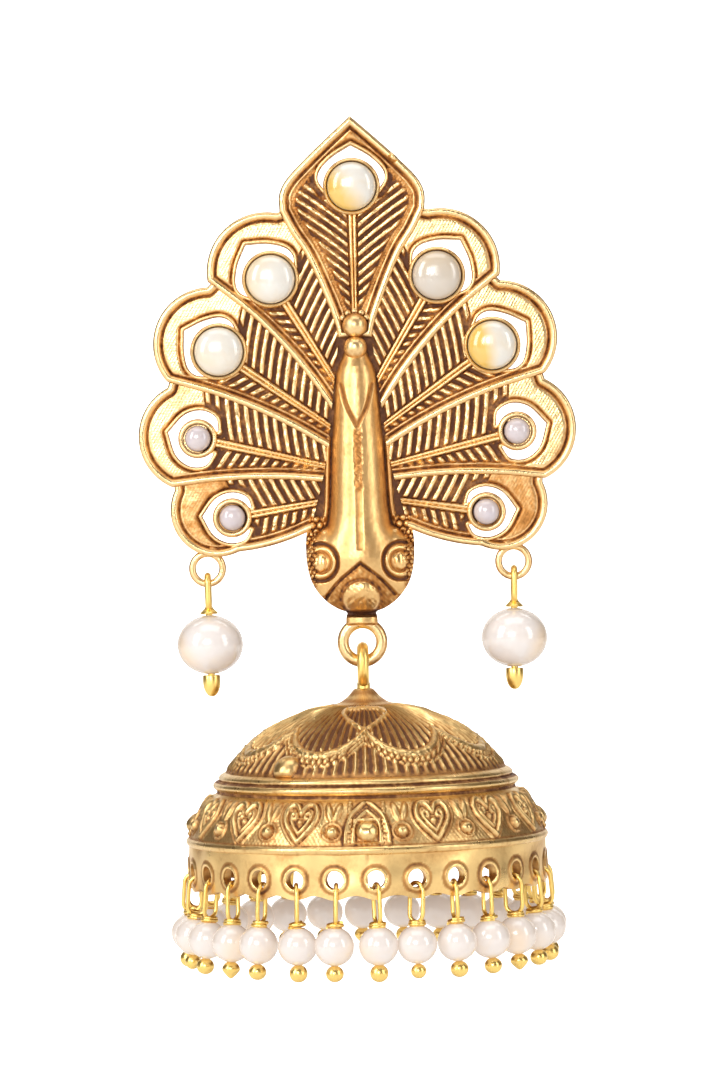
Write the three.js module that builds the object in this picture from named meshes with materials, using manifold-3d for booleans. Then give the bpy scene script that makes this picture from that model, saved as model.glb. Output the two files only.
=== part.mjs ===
// A jhumka earring: a cast peacock stud set with nine stones, two side drops, and a ribbed bell dome
// that hangs from the stud by a wire bail and carries a fringe of pearl drops.
// Millimetres. Each piece is drawn as it looks from the front, x to the right, y up and z forward, from
// the centre of the ring under the bird, and the whole is then turned to stand on +Z.
import * as THREE from 'three';
import { mergeVertices } from 'three/addons/utils/BufferGeometryUtils.js';
import Module from 'manifold-3d';

const wasm = await Module();
wasm.setup();

// The fan of feathers
const FAN_HALF_WIDTH = 22.45;
const FAN_HEIGHT = 54.4;
const PLATE = 1.1;
const RIM_WIDTH = 0.95;
const RIM_RISE = 0.6;
const STEM_WIDTH = 0.8;
const STEM_RISE = 0.5;
const BARB_WIDTH = 0.45;
const BARB_RISE = 0.32;
const BARBS_A_SIDE = 5;
const BARB_LEAN = 0.5;
const BARB_REACH = 5.4;
const EYE_RIM_WIDTH = 0.7;
const EYE_RIM_RISE = 0.45;
const LARGE_EYE = { start: 0.06, width: 1.38, spread: 95 };
const SMALL_EYE = { start: 0.09, width: 1.15, spread: 140 };
const EYE_HOOP_TURN = 12;
const TUCK = 1.6;
const TUCK_TURN = 8;

// The bird in the middle of the fan
const BODY_HALF_WIDTH = 5.7;
const BODY_HEIGHT = 9.2;
const BODY_RISE = 2.4;
const NECK_RISE = 1.5;
const CREST_BALL = 1.25;
const WING_RADIUS = 2.5;
const WING_WIRE = 0.6;
const COLLAR_WIDTH = 3.1;

// The stones and their bezels
const CABOCHON = 5.1;
const CABOCHON_HEIGHT = 1.9;
const CABOCHON_WALL = 0.25;
const HALF_PEARL = 2.7;
const HALF_PEARL_HEIGHT = 1.5;
const HALF_PEARL_WALL = 0.55;
const BEZEL_RISE = 0.9;
const STONE_CLEARANCE = 0.12;

// The ear post on the back
const POST_SHARE = 0.625;
const POST_LENGTH = 11;
const POST_DIAMETER = 1.0;
const POST_PAD = 5;
const POST_SEAT = 0.5;
const POST_CLEARANCE = 0.12;

// The rings cast on the stud, and the wires that hang from them
const RING_RADIUS = 2.0;
const RING_WIRE = 1.2;
const SIDE_RING_RADIUS = 1.56;
const SIDE_RING_WIRE = 0.74;
const SIDE_RING_TURN = 14;
const BAIL_WIRE = 1.2;
const BAIL_CLEARANCE = 0.22;
const BAIL_REACH = 3.5;
const SIDE_LOOP_WIRE = 0.66;
const SIDE_LOOP_LENGTH = 3.4;
const LINK_CLEARANCE = 0.16;

// The side drops
const SIDE_PEARL = 6.8;
const SIDE_PEARL_HEIGHT = 6.1;
const SIDE_PEARL_BORE = 1.0;
const SIDE_PIN = 0.7;
const SIDE_COLLAR = 0.6;
const SIDE_TIP = 2.2;
const SIDE_TIP_WIDTH = 1.8;
const BEAD_CLEARANCE = 0.12;

// The dome
const DOME_RADIUS = 18.5;
const DOME_HEIGHT = 20.2;
const DOME_WALL = 0.9;
const DOME_BORE = 1.6;
const DOME_HEAD = 2.6;
const DOME_LAND = 0.4;
const SKIRT_HEIGHT = 5.0;
const DROPS = 28;
const DROP_PHASE = 2.4;
const HOLE = 1.9;
const HOLE_UP = 2.0;
const SWAGS = 8;
const SWAG_WIRE = 0.9;
const FRIEZE_PANELS = 16;
const FRIEZE_RISE = 0.4;
const HEART_WIDTH = 4.0;
const HEART_HEIGHT = 4.4;

// The fringe drops
const DROP_WIRE = 0.44;
const DROP_PEARL = 4.0;
const DROP_COLLAR = 0.6;
const DROP_COLLAR_WIDTH = 1.7;
const DROP_BALL = 1.9;
const DROP_LOOP_LENGTH = 3.9;
const DROP_LEAN = 5;
const DROP_CLEARANCE = 0.26;

const ROUND = 10;
const EYE_STEPS = 8;
const BEAD_SIDES = 10;
const PEARL_ROWS = 6;
const WIRE_SIDES = 5;
const LOOP_STEPS = 8;
const OVERLAP = 0.2;
const SHORTEST_EDGE = 0.01;
const RING_DEPTH = PLATE / 2 + RIM_RISE / 2;
const POST_HEIGHT = FAN_HEIGHT * POST_SHARE;

// The feathers of one side, from the one beside the crown down. Every place is a share of the fan's
// half width (u) or height (v): the lower cusp, the lobe's ellipse, the root, the bow of the lower
// border towards the feather above, the stone and the foot of the stem. way is the eye's direction,
// in degrees from straight up.
const FEATHERS = [
  {
    name: 'upper', cuspU: 0.658, cuspV: 0.6875, rootU: 0.116, rootV: 0.443, bow: 0.9,
    lobeU: 0.401, lobeV: 0.708, radiusU: 0.275, radiusV: 0.1134,
    stoneU: 0.383, stoneV: 0.693, footU: 0.085, footV: 0.489, way: 34.6, cabochon: true,
  },
  {
    name: 'middle', cuspU: 0.861, cuspV: 0.502, rootU: 0.134, rootV: 0.3695, bow: 0.75,
    lobeU: 0.668, lobeV: 0.5726, radiusU: 0.263, radiusV: 0.1085,
    stoneU: 0.6294, stoneV: 0.558, footU: 0.127, footV: 0.412, way: 56.6, cabochon: true,
  },
  {
    name: 'lower', cuspU: 0.8486, cuspV: 0.3033, rootU: 0.167, rootV: 0.306, bow: 0.5,
    lobeU: 0.7528, lobeV: 0.3983, radiusU: 0.2548, radiusV: 0.1051,
    stoneU: 0.735, stoneV: 0.394, footU: 0.1715, footV: 0.338, way: 76.6, cabochon: false,
  },
  {
    name: 'bottom', cuspU: 0.561, cuspV: 0.1772, rootU: 0.227, rootV: 0.2142, bow: -0.35,
    lobeU: 0.6535, lobeV: 0.2574, radiusU: 0.2151, radiusV: 0.0888,
    stoneU: 0.585, stoneV: 0.2421, footU: 0.156, footV: 0.2693, way: 86, cabochon: false,
  },
];

// The crown feather's right edge, as shares of the fan's half width (u) and height (v).
const CROWN_FLANK = [
  { u: 0, v: 1 },
  { u: 0.1, v: 0.962 },
  { u: 0.21, v: 0.919 },
  { u: 0.3, v: 0.882 },
  { u: 0.337, v: 0.855 },
  { u: 0.334, v: 0.8208 },
];
const CROWN_WAIST = [
  { u: 0.334, v: 0.8208 },
  { u: 0.223, v: 0.741 },
  { u: 0.16, v: 0.684 },
  { u: 0.098, v: 0.616 },
  { u: 0.076, v: 0.579 },
];
const CROWN_STONE = 0.866;
const CROWN_FOOT = 0.64;

// A stone's side, from the middle of its back to its top, as shares of its radius and its height.
const STONE_PROFILE = [[0, 0], [1, 0], [1, 0.3], [0.8, 0.75], [0, 1]];

// The bird's neck, from the head down to the body: half width and height as shares of the fan's.
const NECK = [
  { u: 0.045, v: 0.56 },
  { u: 0.08, v: 0.52 },
  { u: 0.098, v: 0.474 },
  { u: 0.1225, v: 0.38 },
  { u: 0.138, v: 0.263 },
  { u: 0.16, v: 0.19 },
];
const BODY_UP = 0.151;
const CREST = [
  { v: 0.601, size: 1 },
  { v: 0.559, size: 0.94 },
];
const WING_U = 0.156;
const WING_V = 0.172;

// The dome's outside from its head down to the skirt: the radius as a share from DOME_HEAD to
// DOME_RADIUS, and the drop as a share of DOME_HEIGHT less the skirt.
const DOME_PROFILE = [
  { out: 0, down: 0.09 },
  { out: 0.333, down: 0.205 },
  { out: 0.497, down: 0.30 },
  { out: 0.755, down: 0.525 },
  { out: 0.83, down: 0.57 },
  { out: 0.835, down: 0.65 },
  { out: 0.9, down: 0.73 },
  { out: 1.012, down: 0.985 },
];
const FRIEZE_MIDDLE = { out: 0.935, down: 0.82 };
const SWAG_TOP = { out: 0.5, down: 0.302 };
const SWAG_BOTTOM = { out: 0.67, down: 0.452 };

const metal = { color: 0xc9923f, roughness: 0.36, metalness: 1 };
const brightMetal = { color: 0xeebf55, roughness: 0.22, metalness: 1 };
const nacre = { color: 0xe9e4dc, roughness: 0.22, metalness: 0 };
const shell = { color: 0xe3dccb, roughness: 0.16, metalness: 0 };

function solid(geometry) {
  const bare = geometry.index ? geometry.clone() : geometry;
  bare.deleteAttribute('normal');
  bare.deleteAttribute('uv');
  const welded = mergeVertices(bare, 1e-4);
  const index = Array.from(welded.index.array);
  const faces = [];
  for (let at = 0; at < index.length; at += 3) {
    const [a, b, c] = index.slice(at, at + 3);
    if (a !== b && b !== c && c !== a) faces.push(a, b, c);
  }
  return new wasm.Manifold(new wasm.Mesh({
    numProp: 3,
    vertProperties: new Float32Array(welded.attributes.position.array),
    triVerts: new Uint32Array(faces),
  }));
}

function surface(body) {
  const mesh = body.simplify(SHORTEST_EDGE).getMesh();
  const geometry = new THREE.BufferGeometry();
  geometry.setAttribute('position', new THREE.BufferAttribute(new Float32Array(mesh.vertProperties), 3));
  geometry.setIndex(new THREE.BufferAttribute(new Uint32Array(mesh.triVerts), 1));
  geometry.computeVertexNormals();
  return geometry;
}

function joined(bodies) {
  return bodies.reduce((sum, body) => sum.add(body));
}

function piece(name, geometry, finish) {
  const mesh = new THREE.Mesh(geometry, new THREE.MeshStandardMaterial(finish));
  mesh.name = name;
  return mesh;
}

function radians(degrees) {
  return THREE.MathUtils.degToRad(degrees);
}

function fanPoint(u, v) {
  return new THREE.Vector2(u * FAN_HALF_WIDTH, v * FAN_HEIGHT);
}

function mirrored(points) {
  return points.map((point) => new THREE.Vector2(-point.x, point.y)).reverse();
}

// A flat outline raised from one depth to another.
function slab(points, from, to) {
  const geometry = new THREE.ExtrudeGeometry(new THREE.Shape(points), {
    depth: to - from,
    bevelEnabled: false,
    curveSegments: 1,
  });
  geometry.translate(0, 0, from);
  return solid(geometry);
}

// A strip that lies on the left of a path, as wide as the width at each point.
function strip(path, width, from, to) {
  const inner = path.map((point, at) => {
    const before = path[Math.max(at - 1, 0)];
    const after = path[Math.min(at + 1, path.length - 1)];
    const along = after.clone().sub(before).normalize();
    return new THREE.Vector2(point.x - along.y * width, point.y + along.x * width);
  });
  return slab([...path, ...inner.reverse()], from, to);
}

// A straight bar of even width between two points.
function bar(start, end, width, from, to) {
  const along = end.clone().sub(start).normalize();
  const side = new THREE.Vector2(-along.y, along.x).multiplyScalar(width / 2);
  const corners = [
    start.clone().sub(side),
    end.clone().sub(side),
    end.clone().add(side),
    start.clone().add(side),
  ];
  return slab(corners, from, to);
}

function bow(start, end, height, steps) {
  const along = end.clone().sub(start);
  const side = new THREE.Vector2(-along.y, along.x).normalize().multiplyScalar(2 * height);
  const middle = start.clone().add(end).multiplyScalar(0.5).add(side);
  return new THREE.QuadraticBezierCurve(start, middle, end).getPoints(steps);
}

// The lobe's arc from the feather's lower cusp round past the cusp with the feather above, so that its
// end is tucked under that feather.
function lobeArc(feather, lowerCusp, upperCusp, steps) {
  const centre = fanPoint(feather.lobeU, feather.lobeV);
  const reachU = feather.radiusU * FAN_HALF_WIDTH;
  const reachV = feather.radiusV * FAN_HEIGHT;
  const turn = (cusp) => Math.atan2((cusp.y - centre.y) / reachV, (cusp.x - centre.x) / reachU);
  const start = turn(lowerCusp);
  const end = turn(upperCusp) + radians(TUCK_TURN);
  const points = [lowerCusp];
  for (let step = 1; step <= steps; step += 1) {
    const angle = start + ((end - start) * step) / steps;
    points.push(new THREE.Vector2(centre.x + reachU * Math.cos(angle), centre.y + reachV * Math.sin(angle)));
  }
  return points;
}

// The eye's opening: a pointed horseshoe outside the bezel, open towards the stem.
// It is drawn with the eye's direction up and then turned.
function eyeOutline(inner, outer, spread, steps) {
  const points = [];
  for (let step = 0; step <= steps; step += 1) {
    const angle = radians(-spread + (2 * spread * step) / steps);
    const taper = Math.cos(angle * (90 / spread));
    const reach = inner + (outer - inner) * Math.max(taper, 0.1);
    points.push(new THREE.Vector2(Math.sin(angle) * reach, Math.cos(angle) * reach));
  }
  for (let step = steps; step >= 0; step -= 1) {
    const angle = radians(-spread + (2 * spread * step) / steps);
    points.push(new THREE.Vector2(Math.sin(angle) * inner, Math.cos(angle) * inner));
  }
  return points;
}

function turned(points, centre, way) {
  const angle = radians(-way);
  return points.map((point) => point.clone().rotateAround(new THREE.Vector2(), angle).add(centre));
}

function drum(radius, from, to, sides) {
  const geometry = new THREE.CylinderGeometry(radius, radius, to - from, sides);
  geometry.rotateX(Math.PI / 2);
  geometry.translate(0, 0, (from + to) / 2);
  return solid(geometry);
}

// One feather's solid above the plate, and the hole of its eye. The stem runs from the bezel to the
// foot, with barbs leaning towards the tip on both sides.
function featherRelief(outline, rimPath, stone, foot, way, cabochon) {
  const stoneRadius = (cabochon ? CABOCHON : HALF_PEARL) / 2;
  const wall = cabochon ? CABOCHON_WALL : HALF_PEARL_WALL;
  const bezel = stoneRadius + STONE_CLEARANCE + wall;
  const eye = cabochon ? LARGE_EYE : SMALL_EYE;
  const inner = bezel + eye.start;
  const outer = inner + eye.width;
  const floor = PLATE - OVERLAP;
  const field = slab(outline, floor, PLATE + RIM_RISE + OVERLAP);
  const parts = [strip(rimPath, RIM_WIDTH, floor, PLATE + RIM_RISE)];

  const along = foot.clone().sub(stone);
  const length = along.length();
  along.normalize();
  const across = new THREE.Vector2(-along.y, along.x);
  const stemTop = stone.clone().addScaledVector(along, bezel - OVERLAP);
  parts.push(bar(stemTop, foot, STEM_WIDTH, floor, PLATE + STEM_RISE));

  const eyeTurn = (points) => turned(points, stone, way);
  const hoopTurn = eye.spread + EYE_HOOP_TURN;
  const hoop = slab(eyeTurn(eyeOutline(inner - OVERLAP, outer + EYE_RIM_WIDTH, hoopTurn, EYE_STEPS)),
    floor, PLATE + EYE_RIM_RISE);
  const opening = eyeTurn(eyeOutline(inner, outer, eye.spread, EYE_STEPS));
  const hole = slab(opening, -OVERLAP, PLATE + 2 * RIM_RISE);

  const rows = [];
  const first = bezel + BARB_WIDTH;
  const pitch = (length - first) / BARBS_A_SIDE;
  for (let barb = 0; barb < BARBS_A_SIDE; barb += 1) {
    const root = stone.clone().addScaledVector(along, first + pitch * (barb + 0.5));
    for (const side of [-1, 1]) {
      const heading = across.clone().multiplyScalar(side).addScaledVector(along, -BARB_LEAN).normalize();
      const tip = root.clone().addScaledVector(heading, BARB_REACH);
      rows.push(bar(root, tip, BARB_WIDTH, floor, PLATE + BARB_RISE));
    }
  }
  const eyeZone = drum(outer + EYE_RIM_WIDTH, 0, PLATE + BARB_RISE + OVERLAP, ROUND)
    .translate([stone.x, stone.y, 0]);
  parts.push(joined(rows).subtract(eyeZone).intersect(field));
  parts.push(hoop.intersect(field));
  const cup = drum(bezel, floor, PLATE + BEZEL_RISE, ROUND)
    .subtract(drum(stoneRadius + STONE_CLEARANCE, PLATE, PLATE + BEZEL_RISE + OVERLAP, ROUND));
  const seat = drum(stoneRadius + STONE_CLEARANCE, PLATE, PLATE + 2 * BEZEL_RISE, ROUND);
  return {
    outline,
    relief: joined(parts).intersect(field).subtract(seat.translate([stone.x, stone.y, 0]))
      .add(cup.translate([stone.x, stone.y, 0])),
    hole,
    stone,
    cabochon,
  };
}

function sideFeather(at) {
  const feather = FEATHERS[at];
  const cuspAbove = at === 0
    ? fanPoint(CROWN_WAIST[0].u, CROWN_WAIST[0].v)
    : fanPoint(FEATHERS[at - 1].cuspU, FEATHERS[at - 1].cuspV);
  const rootAbove = at === 0
    ? fanPoint(CROWN_WAIST.at(-1).u, CROWN_WAIST.at(-1).v)
    : fanPoint(FEATHERS[at - 1].rootU, FEATHERS[at - 1].rootV);
  const cusp = fanPoint(feather.cuspU, feather.cuspV);
  const root = fanPoint(feather.rootU, feather.rootV);
  const border = bow(root, cusp, feather.bow, 4);
  const arc = lobeArc(feather, cusp, cuspAbove, 7);
  const rimPath = [...border.slice(0, -1), ...arc];
  const tucked = bow(arc.at(-1), rootAbove, -TUCK, 2);
  return featherRelief([...rimPath, ...tucked.slice(1)], rimPath, fanPoint(feather.stoneU, feather.stoneV),
    fanPoint(feather.footU, feather.footV), feather.way, feather.cabochon);
}

function flipped(feather) {
  const mirror = (body) => body.mirror([1, 0, 0]);
  return {
    outline: mirrored(feather.outline),
    relief: mirror(feather.relief),
    hole: mirror(feather.hole),
    stone: new THREE.Vector2(-feather.stone.x, feather.stone.y),
    cabochon: feather.cabochon,
  };
}

function crownFeather() {
  const flank = CROWN_FLANK.map(({ u, v }) => fanPoint(u, v));
  const waist = CROWN_WAIST.map(({ u, v }) => fanPoint(u, v));
  const right = [...flank, ...waist.slice(1)];
  const outline = [...mirrored(right), ...right.slice(1)].reverse();
  return featherRelief(outline, outline, fanPoint(0, CROWN_STONE), fanPoint(0, CROWN_FOOT), 0, true);
}

function ball(radius, wide, high) {
  return solid(new THREE.SphereGeometry(radius, wide, high));
}

function bird() {
  const half = NECK.map(({ u, v }) => fanPoint(u, v));
  const neck = slab([...half, ...mirrored(half)].reverse(), PLATE - OVERLAP, PLATE + NECK_RISE);
  const body = ball(1, ROUND, 8).scale([BODY_HALF_WIDTH, BODY_HEIGHT / 2, BODY_RISE])
    .translate([0, BODY_UP * FAN_HEIGHT, PLATE]);
  const below = slab([
    new THREE.Vector2(-FAN_HALF_WIDTH, -FAN_HEIGHT),
    new THREE.Vector2(FAN_HALF_WIDTH, -FAN_HEIGHT),
    new THREE.Vector2(FAN_HALF_WIDTH, FAN_HEIGHT),
    new THREE.Vector2(-FAN_HALF_WIDTH, FAN_HEIGHT),
  ], -2 * BODY_RISE, 0);
  const parts = [neck, body.subtract(below)];
  for (const { v, size } of CREST) {
    parts.push(ball(CREST_BALL * size, 8, 6).translate([0, v * FAN_HEIGHT, PLATE + CREST_BALL * size / 2]));
  }
  for (const side of [-1, 1]) {
    const wing = solid(new THREE.TorusGeometry(WING_RADIUS, WING_WIRE, WIRE_SIDES, EYE_STEPS));
    parts.push(wing.translate([side * WING_U * FAN_HALF_WIDTH, WING_V * FAN_HEIGHT, PLATE + BODY_RISE * 0.6]));
  }
  return joined(parts);
}

function ring(radius, wire, sides) {
  return solid(new THREE.TorusGeometry(radius, wire / 2, sides, ROUND));
}

function sideRingPlace(side) {
  const feather = FEATHERS.at(-1);
  const lowest = fanPoint(feather.lobeU, feather.lobeV - feather.radiusV);
  const outward = radians(SIDE_RING_TURN);
  return new THREE.Vector2(
    side * (lowest.x + feather.radiusU * FAN_HALF_WIDTH * Math.sin(outward)),
    lowest.y - SIDE_RING_RADIUS + SIDE_RING_WIRE / 2,
  );
}

function spine() {
  const right = [
    fanPoint(CROWN_WAIST.at(-1).u * 1.3, CROWN_WAIST.at(-1).v * 1.02),
    ...FEATHERS.map(({ rootU, rootV }) => fanPoint(rootU * 1.3, rootV)),
    new THREE.Vector2(BODY_HALF_WIDTH * 0.9, BODY_UP * FAN_HEIGHT + BODY_HEIGHT * 0.15),
    new THREE.Vector2(BODY_HALF_WIDTH * 0.8, BODY_UP * FAN_HEIGHT - BODY_HEIGHT * 0.25),
    new THREE.Vector2(COLLAR_WIDTH / 2, BODY_UP * FAN_HEIGHT - BODY_HEIGHT / 2),
    new THREE.Vector2(COLLAR_WIDTH / 2, RING_RADIUS - RING_WIRE / 4),
  ];
  return slab([...right, ...mirrored(right)].reverse(), 0, PLATE);
}

function peacockStud(feathers) {
  const plates = feathers.map(({ outline }) => slab(outline, 0, PLATE));
  let relief = feathers[0].relief;
  for (const feather of feathers.slice(1)) {
    relief = relief.subtract(slab(feather.outline, PLATE, PLATE + BEZEL_RISE + RIM_RISE)).add(feather.relief);
  }
  const rings = [-1, 1].map((side) => {
    const place = sideRingPlace(side);
    return ring(SIDE_RING_RADIUS, SIDE_RING_WIRE, WIRE_SIDES).translate([place.x, place.y, RING_DEPTH]);
  });
  const centre = ring(RING_RADIUS, RING_WIRE, WIRE_SIDES + 1).translate([0, 0, RING_DEPTH]);
  let stud = joined([...plates, spine(), relief, bird(), ...rings, centre]);
  stud = feathers.reduce((body, { hole }) => body.subtract(hole), stud);
  const seat = drum(POST_PAD / 2 + POST_CLEARANCE, -OVERLAP, POST_SEAT, ROUND);
  return stud.subtract(seat.translate([0, POST_HEIGHT, 0]));
}

function stoneGeometry(width, height) {
  const radius = width / 2;
  const profile = STONE_PROFILE.map(([out, up]) => new THREE.Vector2(out * radius, up * height));
  const geometry = new THREE.LatheGeometry(profile, ROUND);
  geometry.rotateX(Math.PI / 2);
  return surface(solid(geometry));
}

// A flat closed wire loop standing in the y z plane: two straight legs with round ends.
class WireLoop extends THREE.Curve {
  constructor(radius, straight) {
    super();
    this.radius = radius;
    this.straight = straight;
  }

  getPoint(share, target = new THREE.Vector3()) {
    const turn = Math.PI * this.radius;
    const along = (share % 1) * 2 * (turn + this.straight);
    if (along < turn) {
      const angle = along / this.radius;
      return target.set(0, this.radius * Math.sin(angle), this.radius * Math.cos(angle));
    }
    if (along < turn + this.straight) return target.set(0, turn - along, -this.radius);
    if (along < 2 * turn + this.straight) {
      const angle = (along - turn - this.straight) / this.radius;
      return target.set(0, -this.straight - this.radius * Math.sin(angle), -this.radius * Math.cos(angle));
    }
    return target.set(0, along - 2 * (turn + this.straight), this.radius);
  }
}

function wireLoop(radius, straight, wire, steps) {
  return solid(new THREE.TubeGeometry(new WireLoop(radius, straight), steps, wire / 2, WIRE_SIDES, true));
}

// A turned solid from a profile that is written from the top down.
function lathe(profile, sides) {
  const points = profile.map(([out, up]) => new THREE.Vector2(out, up)).reverse();
  return solid(new THREE.LatheGeometry(points, sides));
}

// The places along a side drop, measured down from the centre of the ring's lower wire.
const sideLoopRadius = (SIDE_RING_WIRE + SIDE_LOOP_WIRE) / 2 + LINK_CLEARANCE;
const sideLoopEnd = SIDE_LOOP_LENGTH - sideLoopRadius;
const sidePearlTop = sideLoopEnd + SIDE_COLLAR + BEAD_CLEARANCE;
const sidePearlEnd = sidePearlTop + SIDE_PEARL_HEIGHT;

function sideDropPin() {
  const collarTop = -sideLoopEnd;
  const tipTop = -sidePearlEnd - BEAD_CLEARANCE;
  const shaft = lathe([
    [0, collarTop + SIDE_LOOP_WIRE / 2],
    [SIDE_PIN / 2, collarTop + SIDE_LOOP_WIRE / 2],
    [SIDE_TIP_WIDTH / 2, collarTop - SIDE_COLLAR],
    [SIDE_PIN / 2, collarTop - SIDE_COLLAR],
    [SIDE_PIN / 2, tipTop],
    [SIDE_TIP_WIDTH / 2, tipTop],
    [SIDE_TIP_WIDTH / 2, tipTop - SIDE_TIP / 2],
    [SIDE_TIP_WIDTH / 4, tipTop - SIDE_TIP * 0.85],
    [0, tipTop - SIDE_TIP],
  ], BEAD_SIDES);
  const loop = wireLoop(sideLoopRadius, sideLoopEnd - sideLoopRadius, SIDE_LOOP_WIRE, LOOP_STEPS);
  return surface(loop.add(shaft));
}

function sideDropPearl() {
  const half = SIDE_PEARL_HEIGHT / 2;
  const round = Math.asin(SIDE_PEARL_BORE / SIDE_PEARL);
  const outside = [];
  for (let row = 0; row <= PEARL_ROWS; row += 1) {
    const angle = round + ((Math.PI - 2 * round) * row) / PEARL_ROWS;
    outside.push([Math.sin(angle) * SIDE_PEARL / 2, Math.cos(angle) * half - sidePearlTop - half]);
  }
  return surface(lathe([...outside, outside[0]], ROUND));
}

function domeRadius(out) {
  return DOME_HEAD + (DOME_RADIUS - DOME_HEAD) * out;
}

function domeDrop(down) {
  return -(DOME_HEIGHT - SKIRT_HEIGHT) * down;
}

function onDome({ out, down }) {
  return new THREE.Vector2(domeRadius(out), domeDrop(down));
}

// Turns a flat piece drawn round the origin so that it lies on the dome at a height, facing out.
function againstDome(body, place, slope, azimuth) {
  return body.rotate([slope, 0, 0]).translate([0, place.y, place.x]).rotate([0, azimuth, 0]);
}

function heart() {
  const half = HEART_WIDTH / 2;
  const right = [
    new THREE.Vector2(0, HEART_HEIGHT * 0.32),
    new THREE.Vector2(half * 0.6, HEART_HEIGHT * 0.5),
    new THREE.Vector2(half, HEART_HEIGHT * 0.05),
    new THREE.Vector2(0, -HEART_HEIGHT * 0.5),
  ];
  return slab([...right, ...mirrored(right.slice(1, -1))].reverse(), -OVERLAP, FRIEZE_RISE);
}

function archPanel() {
  const half = HEART_WIDTH / 2;
  const right = [
    new THREE.Vector2(0, HEART_HEIGHT * 0.5),
    new THREE.Vector2(half * 0.8, HEART_HEIGHT * 0.15),
    new THREE.Vector2(half, -HEART_HEIGHT * 0.5),
  ];
  return slab([...right, ...mirrored(right.slice(1))].reverse(), -OVERLAP, FRIEZE_RISE);
}

function swag(azimuth) {
  const half = Math.PI / SWAGS;
  const points = [-1, -0.5, 0, 0.5, 1].map((share) => {
    const sag = 1 - share * share;
    const place = onDome({
      out: SWAG_TOP.out + (SWAG_BOTTOM.out - SWAG_TOP.out) * sag,
      down: SWAG_TOP.down + (SWAG_BOTTOM.down - SWAG_TOP.down) * sag,
    });
    const angle = radians(azimuth) + half * share;
    return new THREE.Vector3(Math.sin(angle) * place.x, place.y, Math.cos(angle) * place.x);
  });
  const section = new THREE.Shape();
  for (let side = 0; side < WIRE_SIDES; side += 1) {
    const angle = (2 * Math.PI * side) / WIRE_SIDES;
    const corner = [SWAG_WIRE / 2 * Math.cos(angle), SWAG_WIRE / 2 * Math.sin(angle)];
    if (side === 0) section.moveTo(...corner);
    else section.lineTo(...corner);
  }
  return solid(new THREE.ExtrudeGeometry(section, {
    steps: 3,
    extrudePath: new THREE.CatmullRomCurve3(points),
    bevelEnabled: false,
  }));
}

function dome() {
  const outside = DOME_PROFILE.map(onDome);
  const rimDrop = -DOME_HEIGHT;
  const skirtTop = outside.at(-1);
  const inside = [1, 0.7, 0.3].map((share) => {
    const at = share * (DOME_PROFILE.length - 1);
    const from = outside[Math.floor(at)];
    const to = outside[Math.ceil(at)];
    const place = from.clone().lerp(to, at - Math.floor(at));
    return [place.x - DOME_WALL * 0.7, place.y - DOME_WALL * 0.9];
  });
  const headTop = domeDrop(0);
  const profile = [
    [DOME_BORE / 2, headTop],
    [DOME_BORE / 2 + DOME_LAND, headTop],
    ...outside.map(({ x, y }) => [x, y]),
    [DOME_RADIUS, skirtTop.y - DOME_WALL / 3],
    [DOME_RADIUS, rimDrop],
    [DOME_RADIUS - DOME_WALL, rimDrop],
    ...inside.map(([out, down], at) => [at === 0 ? DOME_RADIUS - DOME_WALL : out, down]),
    [DOME_BORE / 2, domeDrop(DOME_PROFILE[0].down) - DOME_WALL],
    [DOME_BORE / 2, headTop],
  ];
  let body = lathe(profile, DROPS);
  body = body.rotate([0, DROP_PHASE, 0]);
  const pitch = 360 / DROPS;
  const cutter = DOME_WALL * 3;
  const cuts = [];
  for (let drop = 0; drop < DROPS; drop += 1) {
    const azimuth = DROP_PHASE + drop * pitch;
    const hole = drum(HOLE / 2, -cutter, cutter, 6);
    cuts.push(hole.translate([0, rimDrop + HOLE_UP, DOME_RADIUS]).rotate([0, azimuth, 0]));
  }
  const ornaments = [];
  const step = 360 / FRIEZE_PANELS;
  for (let panel = 0; panel < FRIEZE_PANELS; panel += 1) {
    const shape = panel % 4 === 0 ? archPanel() : heart();
    ornaments.push(againstDome(shape, onDome(FRIEZE_MIDDLE), -20, panel * step));
  }
  for (let at = 0; at < SWAGS; at += 1) ornaments.push(swag((at + 0.5) * (360 / SWAGS)));
  body = joined([body, ...ornaments]);
  return cuts.reduce((whole, cut) => whole.subtract(cut), body);
}

// The bail hangs round the ring's lower wire, and its stem goes through the dome's head to a burr.
const bailRadius = (RING_WIRE + BAIL_WIRE) / 2 + BAIL_CLEARANCE;
const domeTop = -RING_RADIUS - BAIL_REACH + bailRadius - BAIL_WIRE / 2 - BEAD_CLEARANCE;

function domeBail() {
  const loop = wireLoop(bailRadius, BAIL_REACH - 2 * bailRadius, BAIL_WIRE, ROUND);
  const stemRadius = DOME_BORE / 2 - BEAD_CLEARANCE;
  const top = -BAIL_REACH + bailRadius;
  const under = domeTop + RING_RADIUS + domeDrop(DOME_PROFILE[0].down) - DOME_WALL - stemRadius / 2;
  const stem = lathe([
    [0, top],
    [stemRadius, top],
    [stemRadius, under],
    [2 * stemRadius, under],
    [1.6 * stemRadius, under - BAIL_WIRE],
    [0, under - BAIL_WIRE],
  ], BEAD_SIDES);
  return surface(loop.add(stem));
}

// A fringe drop, drawn from the middle of its loop's top: the loop goes through a hole in the skirt
// and under its edge, and a pearl hangs between the collar and the end ball.
const dropLoopRadius = (DOME_WALL + DROP_WIRE) / 2 + DROP_CLEARANCE;
const dropHang = -DOME_HEIGHT + HOLE_UP - HOLE / 2 + DROP_CLEARANCE - dropLoopRadius + DROP_WIRE / 2;

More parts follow.
